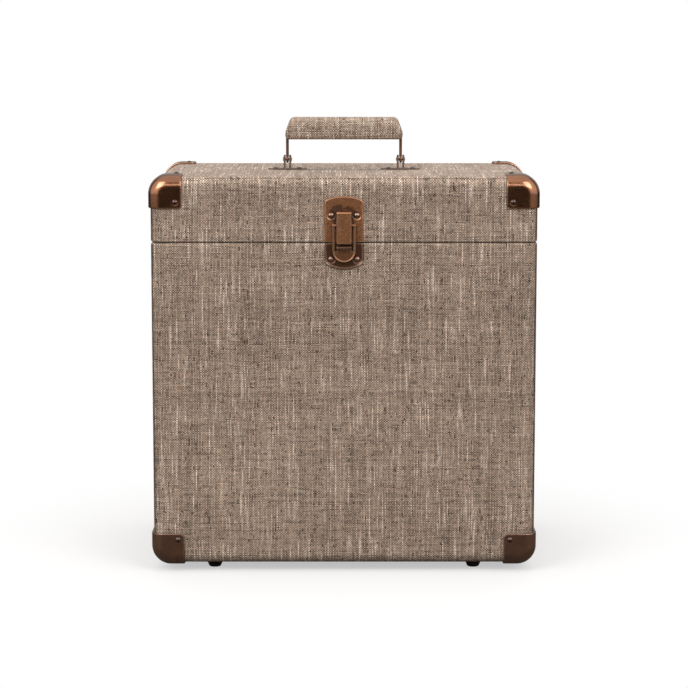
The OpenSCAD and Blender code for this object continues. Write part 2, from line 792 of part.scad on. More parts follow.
module guard_bottom_front_left() color(dark_copper_colour) in_body() corner_guard(-1, -1);
module guard_bottom_front_right() color(dark_copper_colour) in_body() corner_guard(1, -1);
module guard_bottom_back_left() color(dark_copper_colour) in_body() corner_guard(-1, 1);
module guard_bottom_back_right() color(dark_copper_colour) in_body() corner_guard(1, 1);
module body_guard_rivets() color(copper_colour) in_body() guard_rivets(true);

module foot_front_left() color(rubber_colour) foot(-1, -1);
module foot_front_right() color(rubber_colour) foot(1, -1);
module foot_back_left() color(rubber_colour) foot(-1, 1);
module foot_back_right() color(rubber_colour) foot(1, 1);
module foot_screws() color(dark_copper_colour) screws(true);

module catch_plate() color(copper_colour) catch_body();
module catch_rivets() color(dark_copper_colour) plate_rivets(split_z - catch_rivet_down, true);

module hinge_body_leaf_left() color(dark_copper_colour) hinge_leaf(-1, -1, false);
module hinge_body_leaf_right() color(dark_copper_colour) hinge_leaf(1, -1, false);
module hinge_body_rivets() color(copper_colour) leaf_rivets(-1, true);
module hinge_pin_left() color(copper_colour) hinge_pin(-1);
module hinge_pin_right() color(copper_colour) hinge_pin(1);

module lid_front_board() color(board_colour) in_drilled_lid() face_board(lid_half_h, -1);
module lid_back_board() color(board_colour) in_drilled_lid() face_board(lid_half_h, 1);
module lid_left_board() color(board_colour) in_drilled_lid() side_board(lid_half_h, -1);
module lid_right_board() color(board_colour) in_drilled_lid() side_board(lid_half_h, 1);
module lid_top_board() color(board_colour) in_drilled_lid() end_board(lid_half_h);
module lid_wrap_cloth() color(cloth_colour) in_drilled_lid() wrap_cloth(lid_half_h);
module lid_front_cloth() color(cloth_colour) in_drilled_lid() face_cloth(lid_half_h, -1);
module lid_back_cloth() color(cloth_colour) in_drilled_lid() face_cloth(lid_half_h, 1);
module lid_wall_lining() color(lining_colour) in_lid() wall_lining(lid_half_h);
module lid_top_lining() color(lining_colour) in_lid() end_lining();

module guard_top_front_left() color(copper_colour) in_lid() corner_guard(-1, -1);
module guard_top_front_right() color(copper_colour) in_lid() corner_guard(1, -1);
module guard_top_back_left() color(copper_colour) in_lid() corner_guard(-1, 1);
module guard_top_back_right() color(copper_colour) in_lid() corner_guard(1, 1);
module lid_guard_rivets() color(copper_colour) in_lid() guard_rivets(true);

module latch_plate() color(copper_colour) latch_plate_body();
module latch_strap() color(copper_colour) strap_body();
module latch_rivets() color(dark_copper_colour) plate_rivets(split_z + latch_rivet_up, true);
module latch_hasp() color(copper_colour) hasp_body();

module hinge_lid_leaf_left() color(dark_copper_colour) hinge_leaf(-1, 1, true);
module hinge_lid_leaf_right() color(dark_copper_colour) hinge_leaf(1, 1, true);
module hinge_lid_rivets() color(copper_colour) leaf_rivets(1, true);

module handle_bracket_left() color(copper_colour) bracket(-1);
module handle_bracket_right() color(copper_colour) bracket(1);
module handle_bracket_rivets() color(copper_colour) bracket_rivets(true);
module handle_pivot_left() color(dark_copper_colour) pivot(-1);
module handle_pivot_right() color(dark_copper_colour) pivot(1);
module handle_bail() color(copper_colour) bail_body();
module grip_core() color(board_colour) difference() {
    grip_form(grip_cloth_t);
    bail_wire();
}
module grip_cloth() color(cloth_colour) difference() {
    grip_form(0);
    grip_form(grip_cloth_t);
    bail_wire();
}

body_front_board();
body_back_board();
body_left_board();
body_right_board();
body_bottom_board();
body_wrap_cloth();
body_front_cloth();
body_back_cloth();
body_wall_lining();
body_floor_lining();
guard_bottom_front_left();
guard_bottom_front_right();
guard_bottom_back_left();
guard_bottom_back_right();
body_guard_rivets();
foot_front_left();
foot_front_right();
foot_back_left();
foot_back_right();
foot_screws();
catch_plate();
catch_rivets();
hinge_body_leaf_left();
hinge_body_leaf_right();
hinge_body_rivets();
hinge_pin_left();
hinge_pin_right();
lid_front_board();
lid_back_board();
lid_left_board();
lid_right_board();
lid_top_board();
lid_wrap_cloth();
lid_front_cloth();
lid_back_cloth();
lid_wall_lining();
lid_top_lining();
guard_top_front_left();
guard_top_front_right();
guard_top_back_left();
guard_top_back_right();
lid_guard_rivets();
latch_plate();
latch_strap();
latch_rivets();
latch_hasp();
hinge_lid_leaf_left();
hinge_lid_leaf_right();
hinge_lid_rivets();
handle_bracket_left();
handle_bracket_right();
handle_bracket_rivets();
handle_pivot_left();
handle_pivot_right();
handle_bail();
grip_core();
grip_cloth();
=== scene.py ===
"""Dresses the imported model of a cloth-covered record carrying case.

The case stands on the floor with its front towards -Y. Lengths are in metres unless a name ends in
_mm, which the materials use because a weave is easier to read in millimetres.
"""

from __future__ import annotations

import logging
import math
from dataclasses import dataclass
from enum import Enum
from typing import Callable, Iterable, Sequence

import bmesh
import bpy
from mathutils import Matrix, Vector


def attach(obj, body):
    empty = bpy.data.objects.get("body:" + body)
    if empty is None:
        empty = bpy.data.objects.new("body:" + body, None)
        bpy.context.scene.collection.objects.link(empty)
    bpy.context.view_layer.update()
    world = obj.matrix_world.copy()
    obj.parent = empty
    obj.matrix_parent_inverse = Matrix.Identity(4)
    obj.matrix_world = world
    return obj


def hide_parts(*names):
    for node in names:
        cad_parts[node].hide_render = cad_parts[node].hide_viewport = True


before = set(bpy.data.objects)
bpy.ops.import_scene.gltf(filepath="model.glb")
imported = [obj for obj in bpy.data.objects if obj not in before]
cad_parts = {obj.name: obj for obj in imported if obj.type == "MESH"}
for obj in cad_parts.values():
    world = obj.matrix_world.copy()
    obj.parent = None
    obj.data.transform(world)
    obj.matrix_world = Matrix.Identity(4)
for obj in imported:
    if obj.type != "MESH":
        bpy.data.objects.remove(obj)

LOG = logging.getLogger("carrying_case")
MM = 1000.0
Point = tuple[float, float, float]
Colour = tuple[float, float, float]
Ellipse = tuple[float, float, float, float]
Place = tuple[Point, Point]
Wanted = Callable[[object], bool]
Socket = bpy.types.NodeSocket


class Body(Enum):
    """The four bodies that move against each other."""

    CASE = "case"
    LID = "lid"
    HASP = "hasp"
    HANDLE = "handle"


class Slot(Enum):
    """Material slots of the record."""

    CLOTH = "cloth"
    COPPER = "copper"
    DARK_COPPER = "dark_copper"


class Lay(Enum):
    """How the slubby threads of a cloth lie on the piece that it covers."""

    UP_THE_FACE = "x across, z along"
    OVER_THE_LID = "round the lid across, y along"
    UNDER_THE_BODY = "round the body across, y along"
    ROUND_THE_GRIP = "x across, round the grip along"


@dataclass(frozen=True)
class CaseSizes:
    """The closed case over its cloth, which the sub-assemblies take their places from."""

    half_w: float = 0.178
    half_d: float = 0.105
    low_z: float = 0.008
    high_z: float = 0.370
    split_z: float = 0.3095
    corner_r: float = 0.016
    edge_r: float = 0.010


@dataclass(frozen=True)
class GripSizes:
    """The padded grip: a soft loaf with slanting ends.

    Its cloth goes round a bar of radius girth_r about axis_z, and straight over the ends, which
    start the width of a cap inside the half length.
    """

    half_len: float = 0.0562
    half_d: float = 0.012
    low_z: float = 0.3991
    high_z: float = 0.4204
    shoulder_z: float = 0.4062
    slant: float = 0.0052
    axis_z: float = 0.4084
    girth_r: float = 0.0115
    cap: float = 0.0012


CASE = CaseSizes()
GRIP = GripSizes()
FRONT_Y = -CASE.half_d


# Shader recipes


class Value:
    """A number that a shader works out at each point, reckoned with like a plain number."""

    def __init__(self, recipe: Recipe, socket: Socket) -> None:
        """Takes hold of an output.

        Args:
            recipe: Recipe that it belongs to.
            socket: The output.
        """
        self.recipe, self.socket = recipe, socket

    def math(self, operation: str, *others: Number) -> Value:
        """Puts the value, and others after it, through a Math node."""
        return self.recipe.reckon(operation, self, *others)

    def __add__(self, other: Number) -> Value:
        """Adds a number."""
        return self.math("ADD", other)

    def __sub__(self, other: Number) -> Value:
        """Takes a number away."""
        return self.math("SUBTRACT", other)

    def __rsub__(self, other: float) -> Value:
        """Takes the value away from a plain number."""
        return self.recipe.reckon("SUBTRACT", other, self)

    def __mul__(self, other: Number) -> Value:
        """Multiplies by a number."""
        return self.math("MULTIPLY", other)

    def __truediv__(self, other: Number) -> Value:
        """Divides by a number."""
        return self.math("DIVIDE", other)

    def __abs__(self) -> Value:
        """Drops the sign."""
        return self.math("ABSOLUTE")

    def at_least(self, other: Number) -> Value:
        """Gives the larger of the value and another number."""
        return self.math("MAXIMUM", other)

    def at_most(self, other: Number) -> Value:
        """Gives the smaller of the value and another number."""
        return self.math("MINIMUM", other)

    def about_zero(self, width: float) -> Value:
        """Turns a number between 0 and 1 into one that lies evenly about zero."""
        return (self - 0.5) * width

    def step(self, low: float, high: float, bottom: float = 0.0, top: float = 1.0) -> Value:
        """Rises smoothly from bottom to top while the value goes from low to high.

        Args:
            low: Value at which the rise starts.
            high: Value at which it ends.
            bottom: Result below the rise.
            top: Result above it.

        Returns:
            The result.
        """
        ends = dict(enumerate((self, low, high, bottom, top)))
        return self.recipe.value(self.recipe.node("MapRange", ends, interpolation_type="SMOOTHSTEP"))


Number = Value | float


class Recipe:
    """Lays down the nodes of a material, or of the world, one after another."""

    def __init__(self, owner: bpy.types.Material | bpy.types.World) -> None:
        """Empties a node tree.

        Args:
            owner: Material or world that the tree belongs to.
        """
        self.owner = owner
        owner.use_nodes = True
        self.tree = owner.node_tree
        self.tree.nodes.clear()

    @classmethod
    def material(cls, name: str) -> Recipe:
        """Starts a new material."""
        return cls(bpy.data.materials.new(name))

    def node(self, kind: str, inputs: dict | None = None, **settings: object) -> bpy.types.Node:
        """Adds a node.

        Args:
            kind: Type of the node, without its ShaderNode prefix.
            inputs: What its inputs take, by name or number.
            settings: Properties to set on it.

        Returns:
            The node.
        """
        made = self.tree.nodes.new("ShaderNode" + kind)
        for key, value in settings.items():
            setattr(made, key, value)
        for key, source in (inputs or {}).items():
            self.feed(made.inputs[key], source)
        return made

    def feed(self, socket: Socket, source: object) -> None:
        """Links a socket to an output, or sets its value.

        Args:
            socket: The input.
            source: An output, a number or a colour.
        """
        if isinstance(source, Value):
            source = source.socket
        if isinstance(source, Socket):
            self.tree.links.new(source, socket)
        elif isinstance(source, tuple) and socket.type == "RGBA":
            socket.default_value = (*source, 1.0)
        else:
            socket.default_value = source

    def value(self, node: bpy.types.Node, output: int | str = 0) -> Value:
        """Takes one output of a node as a number."""
        return Value(self, node.outputs[output])

    def reckon(self, operation: str, *inputs: Number) -> Value:
        """Adds a Math node."""
        return self.value(self.node("Math", dict(enumerate(inputs)), operation=operation))

    def blend(self, factor: Number, first: object, second: object, mode: str = "MIX") -> Socket:
        """Mixes two colours.

        Args:
            factor: How much of the second one shows.
            first: Colour at 0.
            second: Colour at 1.
            mode: Blend mode.

        Returns:
            The mixed colour.
        """
        inputs = {0: factor, 6: first, 7: second}
        made = self.node("Mix", inputs, data_type="RGBA", blend_type=mode, clamp_factor=True)
        return made.outputs[2]

    def place(self, x: Number, y: Number, z: Number = 0.0) -> Socket:
        """Joins three numbers to a vector."""
        return self.node("CombineXYZ", {0: x, 1: y, 2: z}).outputs[0]

    def split(self, vector: Socket) -> tuple[Value, Value, Value]:
        """Takes a vector apart."""
        made = self.node("SeparateXYZ", {0: vector})
        return self.value(made, 0), self.value(made, 1), self.value(made, 2)

    def noise(self, where: Socket, scale: float = 1.0, detail: float = 2.0, rough: float = 0.5) -> Value:
        """Adds smooth noise.

        Args:
            where: Vector that it is read at.
            scale: Its scale.
            detail: Number of finer layers.
            rough: Strength of the finer layers.

        Returns:
            The noise, between 0 and 1.
        """
        inputs = {"Vector": where, "Scale": scale, "Detail": detail, "Roughness": rough}
        return self.value(self.node("TexNoise", inputs, noise_dimensions="3D"))

    def chance(self, where: Socket) -> Value:
        """Gives each vector of whole numbers its own even chance between 0 and 1."""
        return self.value(self.node("TexWhiteNoise", {"Vector": where}, noise_dimensions="3D"), "Value")

    def millimetres(self) -> tuple[Value, Value, Value]:
        """Gives the object's x, y and z in millimetres."""
        inputs = {0: self.node("TexCoord").outputs["Object"], "Scale": MM}
        return self.split(self.node("VectorMath", inputs, operation="SCALE").outputs[0])

    def openness(self, reach: float, samples: int) -> Value:
        """Says how open the surroundings are, from 0 in a nook to 1 on a plain face."""
        return self.value(self.node("AmbientOcclusion", {"Distance": reach}, samples=samples), "AO")

    def bump(self, height: Number, strength: float, depth: float) -> Socket:
        """Bends the normal by a height."""
        inputs = {"Strength": strength, "Distance": depth, "Height": height}
        return self.node("Bump", inputs).outputs[0]

    def mix_shaders(self, factor: Number, first: Socket, second: Socket) -> Socket:
        """Mixes two shaders."""
        return self.node("MixShader", {0: factor, 1: first, 2: second}).outputs[0]

    def surface(self, **sockets: object) -> bpy.types.Material:
        """Ends the recipe with a Principled shader.

        Args:
            sockets: What its inputs take, by name with underscores for spaces.

        Returns:
            The finished material.
        """
        inputs = {key.replace("_", " "): source for key, source in sockets.items()}
        self.node("OutputMaterial", {0: self.node("BsdfPrincipled", inputs).outputs[0]})
        return self.owner


@dataclass(frozen=True)
class LinenCloth:
    """Coarse linen-look cloth: pale slubs one way, dark flecks the other.

    The lengths in _mm say how far its threads, slubs, flecks, patches and bands run. A lift brings
    a slub or a fleck up over the thread that it crosses, and the uneven values say how far knots,
    warp and weft differ in shade. Painted shade darkens the dips between the threads and any nook
    within nook_shade_reach, and painted highlight lightens the crowns of the threads.
    """

    lay: Lay
    seed: float = 0.0
    across_mm: float = 1.22
    along_mm: float = 1.11
    wander_mm: float = 5.0
    slub_mm: float = 42.0
    dip_mm: float = 8.0
    fleck_mm: float = 15.0
    patch_mm: tuple[float, float] = (11.0, 6.0)
    band_mm: tuple[float, float] = (6.0, 150.0)
    rim_mm: float = 0.35
    relief_mm: float = 0.22
    nook_shade_reach: float = 0.0028
    slub_lift: float = 0.30
    fleck_lift: float = 0.22
    uneven_knots: float = 0.56
    uneven_warp: float = 0.20
    uneven_weft: float = 0.22
    pairing: float = 0.12
    warp: Colour = (0.52, 0.395, 0.305)
    weft: Colour = (0.235, 0.170, 0.125)
    pale: Colour = (0.69, 0.580, 0.487)
    dark: Colour = (0.075, 0.050, 0.036)
    russet: Colour = (0.36, 0.215, 0.160)

    def directions(self, r: Recipe) -> tuple[Value, Value]:
        """Finds the place on the cloth.

        Args:
            r: Recipe that the nodes go in.

        Returns:
            Millimetres across the slubs and along them.
        """
        x, y, z = r.millimetres()
        if self.lay is Lay.ROUND_THE_GRIP:
            return self.round_the_grip(x, y, z)
        rim = abs(z - CASE.split_z * MM).math("LESS_THAN", self.rim_mm)
        if self.lay is Lay.UP_THE_FACE:
            return x, z + rim * (CASE.half_d * MM - abs(y))
        return self.round_the_end(x, z, rim), y

    def round_the_end(self, x: Value, z: Value, rim: Value) -> Value:
        """Follows the cloth up one side of body or lid, round its end and down the other side.

        Args:
            x: Millimetres to the right.
            z: Millimetres up.
            rim: 1 on the flat rim at the split line, 0 elsewhere.

        Returns:
            Millimetres round the end, from its middle.
        """
        up, level = -1.0, CASE.low_z + CASE.corner_r
        if self.lay is Lay.OVER_THE_LID:
            up, level = 1.0, CASE.high_z - CASE.corner_r
        wide, flat_mm = abs(x), (CASE.half_w - CASE.corner_r) * MM
        rise = (z - level * MM) * up
        turn = (wide - flat_mm).at_least(0.0).math("ARCTAN2", rise.at_least(0.0001))
        across = wide.at_most(flat_mm) + turn * (CASE.corner_r * MM) - rise.at_most(0.0)
        return (across + rim * (CASE.half_w * MM - wide)) * x.math("SIGN")

    @staticmethod
    def round_the_grip(x: Value, y: Value, z: Value) -> tuple[Value, Value]:
        """Follows the cloth round the grip, and straight over its two ends.

        Args:
            x: Millimetres to the right.
            y: Millimetres back.
            z: Millimetres up.

        Returns:
            Millimetres across the slubs and along them.
        """
        slope = GRIP.slant / (GRIP.high_z - GRIP.shoulder_z)
        turn = y.math("ARCTAN2", z - GRIP.axis_z * MM) * (GRIP.girth_r * MM)
        lean = (z - GRIP.shoulder_z * MM).at_least(0.0) * slope
        end = (abs(x) + lean).math("GREATER_THAN", (GRIP.half_len - GRIP.cap) * MM)
        return x + end * (y - x), turn + end * (z - turn)

    @staticmethod
    def thread(across: Value, along: Value, number: Value) -> Value:
        """Gives the height of one set of threads, over and under the other set by turns.

        Args:
            across: Thread widths across the set.
            along: Thread widths along it.
            number: The thread's number, whose parity says where it goes over.

        Returns:
            The height, from 0 to 1.
        """
        bow = ((across.math("FRACT") - 0.5) * math.pi).math("COSINE")
        turn = (along - 0.5 + number) * math.pi
        return bow * (turn.math("COSINE") * 0.38 + 0.62)

    def material(self) -> bpy.types.Material:
        """Builds the material.

        Noise along a thread is read at the thread's number times an odd factor, so that its
        neighbours differ, and each noise has its own distance from the seed.

        Returns:
            The material.
        """
        r, seed = Recipe.material(f"linen_{self.lay.name.lower()}_{self.seed:g}"), self.seed
        u, v = self.directions(r)
        wander = r.noise(r.place(u, v, seed), 0.012, 1.0)
        drift = r.split(wander.socket.node.outputs["Color"])
        u, v = u + drift[0] * self.wander_mm, v + drift[1] * self.wander_mm
        a, b = u / self.across_mm, v / self.along_mm
        i, j = a.math("FLOOR"), b.math("FLOOR")

        slub = r.noise(r.place(i * 7.31, v / self.slub_mm, seed + 3.0)).step(0.54, 0.68, 0.0, 0.85)
        shadowed = r.noise(r.place(i * 3.77, v / self.dip_mm, seed + 6.0)).step(0.40, 0.31)
        weft_run = r.noise(r.place(u / self.fleck_mm, j * 5.17, seed + 9.0))
        fleck, light_pick = weft_run.step(0.53, 0.63), weft_run.step(0.43, 0.34)

        warp_up = self.thread(a, b, i) + slub * self.slub_lift
        weft_up = self.thread(b, a, j + 1.0) + fleck * self.fleck_lift
        over = (warp_up - weft_up).step(-0.10, 0.10)
        height = warp_up.at_least(weft_up)
        warp = r.blend(slub, r.blend(shadowed, self.warp, self.dark), self.pale)
        weft = r.blend(fleck, r.blend(light_pick * 0.6, self.weft, self.warp), self.dark)
        yarn = r.blend(over, weft, warp)
        patch = r.noise(r.place(u / self.patch_mm[0], v / self.patch_mm[1], seed))
        yarn = r.blend(patch.step(0.55, 0.70, 0.0, 0.22), yarn, self.russet)

        knot = r.chance(r.place(i, j, seed)).about_zero(self.uneven_knots)
        pairs = (i.math("PINGPONG", 1.0) + j.math("PINGPONG", 1.0) - 1.0) * self.pairing
        strand = r.chance(r.place(i, 4.0, seed)).about_zero(self.uneven_warp)
        pick = r.chance(r.place(j, 8.0, seed)).about_zero(self.uneven_weft)
        band = r.noise(r.place(u / self.band_mm[0], v / self.band_mm[1], seed + 5.0), 1.0, 3.0)
        cloud = r.noise(r.place(u, v, seed + 2.0), 0.02, 3.0)
        shade = band.step(0.28, 0.72, 0.84, 1.14) + knot + pairs + strand + pick
        shade = shade + cloud.step(0.3, 0.7, -0.06, 0.06)
        # Painted shade and painted highlight: dark in the dips between threads, light on their crowns
        shade = shade * height.step(0.30, 0.85, 0.30, 1.30)
        # Painted shade in nooks: along seams and round the metal pieces that stand on the cloth
        shade = shade * r.openness(self.nook_shade_reach, 6).step(0.25, 0.75, 0.60, 1.0)
        return r.surface(
            Base_Color=r.blend(1.0, yarn, r.place(shade, shade, shade), "MULTIPLY"),
            Roughness=0.92,
            Specular_IOR_Level=0.18,
            Sheen_Weight=0.10,
            Sheen_Roughness=0.5,
            Normal=r.bump(height + slub * 0.25, 0.6, self.relief_mm / MM),
        )


@dataclass(frozen=True)
class AntiqueCopper:
    """Copper plating, dark with patina and painted shade in its hollows, and rubbed bright with a painted
    highlight on its edges.

    Darkening says how much of it has gone dark, in clouds of about mottle_mm, speckle how dark its
    fine spots are, and grime_and_shade how dark its hollows are, with patina and painted shade
    together. A dark spot is an oval on the front of a piece.
    """

    name: str
    body: Colour = (0.36, 0.165, 0.085)
    rubbed_and_highlight: Colour = (0.80, 0.47, 0.31)
    patina_and_shade: Colour = (0.060, 0.030, 0.022)
    age: float = 0.5
    mottle_mm: float = 2.4
    roughness: float = 0.36
    edge_mm: float = 0.7
    hollow: float = 0.0026
    coat: float = 0.5
    speckle: float = 0.35
    grime_and_shade: float = 0.95
    metallic: float = 1.0
    dark_spots: tuple[Ellipse, ...] = ()

    @staticmethod
    def spot(x: Value, z: Value, cloud: Value, oval: Ellipse) -> Value:
        """Draws a dark oval with a ragged edge on the front of a piece.

        Args:
            x: Millimetres to the right.
            z: Millimetres up.
            cloud: Noise that makes the edge ragged.
            oval: Place and half sizes, across and up, in millimetres.

        Returns:
            1 on the spot, 0 away from it.
        """
        dx, dz = (x - oval[0]) / oval[2], (z - oval[1]) / oval[3]
        far = (dx * dx + dz * dz).math("SQRT")
        return (cloud.about_zero(1.2) + far).step(1.08, 0.78)

    def edges(self, r: Recipe) -> Value:
        """Finds the outer edges, where a rounded normal turns away from the true one.

        Args:
            r: Recipe that the nodes go in.

        Returns:
            1 on an edge, 0 on a plain face.
        """
        soft = r.node("Bevel", {"Radius": self.edge_mm / MM}, samples=6).outputs[0]
        normals = {0: soft, 1: r.node("NewGeometry").outputs["Normal"]}
        turned = r.node("VectorMath", normals, operation="DOT_PRODUCT")
        return r.value(turned, "Value").step(0.995, 0.90)

    def material(self) -> bpy.types.Material:
        """Builds the material. The last of its dark spots is also too deep to take the rubbed colour and
        painted highlight of an edge.

        Returns:
            The material.
        """
        r = Recipe.material(self.name)
        x, y, z = r.millimetres()
        here = r.place(x, y, z)
        cloud = r.noise(here, 1 / (self.mottle_mm * 3), 4.0, 0.6)
        grain = r.noise(here, 0.9, 3.0, 0.6)
        spots = [self.spot(x, z, cloud, oval) for oval in self.dark_spots]
        hollow = r.openness(self.hollow, 8)
        # Darkening: patina in clouds, the dark spots, and patina with painted shade in hollows
        age = (grain * 0.35 + cloud).step(0.82 - 0.4 * self.age, 1.02 - 0.3 * self.age)
        age = age * (0.45 + 0.5 * self.age)
        for spot in spots:
            age = age.at_least(spot * 0.85)
        # Patina and painted shade in hollows and where other parts close in over the copper
        age = age.at_least(hollow.step(0.84, 0.45, 0.0, self.grime_and_shade))
        # Edges take a bright colour: wear on the copper, and a painted highlight along rims and rolled
        # edges
        rub_and_highlight = self.edges(r) * hollow.step(0.22, 0.50) * grain.step(0.30, 0.55, 0.45, 1.0)
        if spots:
            rub_and_highlight = rub_and_highlight * (1.0 - spots[-1])
        lighter = tuple(min(1.0, c * 1.25) for c in self.body)
        tint = r.blend(cloud.step(0.35, 0.65), self.body, lighter)
        tint = r.blend(grain.step(0.42, 0.66, 0.0, self.speckle), tint, self.patina_and_shade)
        tint = r.blend(age, tint, self.patina_and_shade)
        return r.surface(
            Base_Color=r.blend(rub_and_highlight, tint, self.rubbed_and_highlight),
            Metallic=self.metallic,
            Roughness=age * 0.16 + self.roughness + grain.about_zero(0.18),
            Coat_Weight=self.coat,
            Coat_Roughness=0.10,
            Coat_IOR=1.8,
            Normal=r.bump(cloud * 2.0 + grain, 0.18, 0.0002),
        )


@dataclass(frozen=True)
class Matt:
    """Plain matt stuff with a fine uneven grain: rubber, paper lining or bare plywood."""

    name: str
    base: Colour
    other: Colour
    roughness: float = 0.8
    grain_mm: Point = (1.0, 1.0, 1.0)
    relief_mm: float = 0.05

    def material(self) -> bpy.types.Material:
        """Builds the material.

        Returns:
            The material.
        """
        r = Recipe.material(self.name)
        here = r.millimetres()
        grain = r.noise(r.place(*[c / g for c, g in zip(here, self.grain_mm)]), 1.0, 4.0, 0.65)
        cloud = r.noise(r.place(*here), 0.03)
        tint = r.blend(grain.step(0.35, 0.68), self.base, self.other)
        return r.surface(
            Base_Color=r.blend(cloud.step(0.4, 0.7, 0.0, 0.4), tint, self.other),
            Roughness=grain.about_zero(0.2) + self.roughness,
            Specular_IOR_Level=0.3,
            Normal=r.bump(grain, 0.5, self.relief_mm / MM),
        )


# Bench tools


def clear_selection() -> None:
    """Leaves edit mode and deselects every object."""
    if bpy.context.object and bpy.context.object.mode != "OBJECT":
        bpy.ops.object.mode_set(mode="OBJECT")
    bpy.ops.object.select_all(action="DESELECT")


def near(value: float, wanted: float, room: float = 2e-5) -> bool:
    """Says whether two lengths agree."""
    return abs(value - wanted) < room


def every(_: object) -> bool:
    """Wants every element of a mesh."""
    return True


def ball_radius(half_width: float, height: float) -> float:
    """Gives the radius of the ball that a dome or a bowl is a cap of."""
    return (half_width**2 + height**2) / (2 * height)


class Workpiece:
    """A mesh on the bench, started from a primitive and shaped with operators."""

    def __init__(self, piece: bpy.types.Object) -> None:
        """Takes hold of an object.

        Args:
            piece: The mesh object.
        """
        self.piece = piece

    @classmethod
    def on_bench(cls) -> Workpiece:
        """Fixes the active object's place in its mesh and takes hold of it."""
        bpy.ops.object.transform_apply(location=True, rotation=True, scale=True)
        return cls(bpy.context.object)

    @classmethod
    def block(cls, low: Point, high: Point) -> Workpiece:
        """Starts from a block.

        Args:
            low: Its lowest corner.
            high: Its highest corner.

        Returns:
            The workpiece.
        """
        clear_selection()
        bpy.ops.mesh.primitive_cube_add(
            size=1.0,
            location=[(a + b) / 2 for a, b in zip(low, high)],
            scale=[b - a for a, b in zip(low, high)],
        )
        return cls.on_bench()

    @classmethod
    def disc(cls, centre: Point, radius: float, facing: Point, sides: int) -> Workpiece:
        """Starts from a filled circle.

        Args:
            centre: Its centre.
            radius: Its radius.
            facing: The way that it faces.
            sides: Number of its sides.

        Returns:
            The workpiece.
        """
        clear_selection()
        bpy.ops.mesh.primitive_circle_add(
            vertices=sides,
            radius=radius,
            fill_type="NGON",
            location=centre,
            rotation=Vector(facing).to_track_quat("Z", "Y").to_euler(),
        )
        return cls.on_bench()

    @classmethod
    def rod(cls, start: Point, end: Point, radius: float, sides: int = 32) -> Workpiece:
        """Starts from a round bar.

        Args:
            start: Centre of one end.
            end: Centre of the other end.
            radius: Its radius.
            sides: Number of its sides.

        Returns:
            The workpiece.
        """
        clear_selection()
        run = Vector(end) - Vector(start)
        bpy.ops.mesh.primitive_cylinder_add(
            vertices=sides,
            radius=radius,
            depth=run.length,
            location=(Vector(start) + Vector(end)) / 2,
            rotation=run.to_track_quat("Z", "Y").to_euler(),
        )
        return cls.on_bench()

    @classmethod
    def ball(cls, centre: Point, radius: float, sides: int, rings: int, tilt: float = 0.0) -> Workpiece:
        """Starts from a ball.

        Args:
            centre: Its centre.
            radius: Its radius.
            sides: Number of its sides.
            rings: Number of its rings.
            tilt: Turn of its poles about the x axis.

        Returns:
            The workpiece.
        """
        clear_selection()
        bpy.ops.mesh.primitive_uv_sphere_add(
            segments=sides, ring_count=rings, radius=radius, location=centre, rotation=(tilt, 0.0, 0.0)
        )
        return cls.on_bench()

    @classmethod
    def domes(cls, width: float, height: float, places: Sequence[Place]) -> Workpiece:
        """Makes one dome and stands copies of it on their places.

        Args:
            width: Width of a dome.
            height: Its height.
            places: Foot and outward direction of each dome.

        Returns:
            The domes as one workpiece.
        """
        radius, root = ball_radius(width / 2, height), 0.0003
        dome = cls.ball((0.0, 0.0, height - radius), radius, 32, 48)
        dome.cut((0.0, 0.0, -root), (0.0, 0.0, 1.0), "back", True)
        return dome.repeat([
            Matrix.Translation(foot) @ Vector(out).to_track_quat("Z", "Y").to_matrix().to_4x4()
            for foot, out in places
        ])

    @classmethod
    def case_form(cls, proud: float, corner_steps: int, edge_steps: int) -> Workpiece:
        """Makes the closed form of the whole case.

        Args:
            proud: How far it stands out from the cloth.
            corner_steps: Steps round the four corners that show from the front.
            edge_steps: Steps round the front and back edges.

        Returns:
            The form.
        """

        def runs_back(edge: bmesh.types.BMEdge) -> bool:
            """Says whether an edge runs from the front to the back."""
            first, second = (vert.co for vert in edge.verts)
            return near(first.x, second.x) and near(first.z, second.z)

        def bounds_face(edge: bmesh.types.BMEdge) -> bool:
            """Says whether an edge goes round the front or the back."""
            return near(edge.verts[0].co.y, edge.verts[1].co.y)

        x, y = CASE.half_w + proud, CASE.half_d + proud
        work = cls.block((-x, -y, CASE.low_z - proud), (x, y, CASE.high_z + proud))
        work.bevel("EDGE", runs_back, CASE.corner_r + proud, corner_steps)
        work.bevel("EDGE", bounds_face, CASE.edge_r + proud, edge_steps)
        return work

    @classmethod
    def copy_of(cls, node: str) -> Workpiece:
        """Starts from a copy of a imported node, with its loose triangles joined.

        Args:
            node: Name of the node.

        Returns:
            The workpiece.
        """
        made = bpy.data.objects.new("copy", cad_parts[node].data.copy())
        bpy.context.scene.collection.objects.link(made)
        work = cls(made)
        work.select("VERT", every)
        bpy.ops.mesh.remove_doubles(threshold=1e-6)
        bpy.ops.mesh.dissolve_limited(angle_limit=math.radians(0.5))
        return work

    def hold(self) -> None:
        """Makes the workpiece the active object, and the only one selected."""
        clear_selection()
        self.piece.select_set(True)
        bpy.context.view_layer.objects.active = self.piece

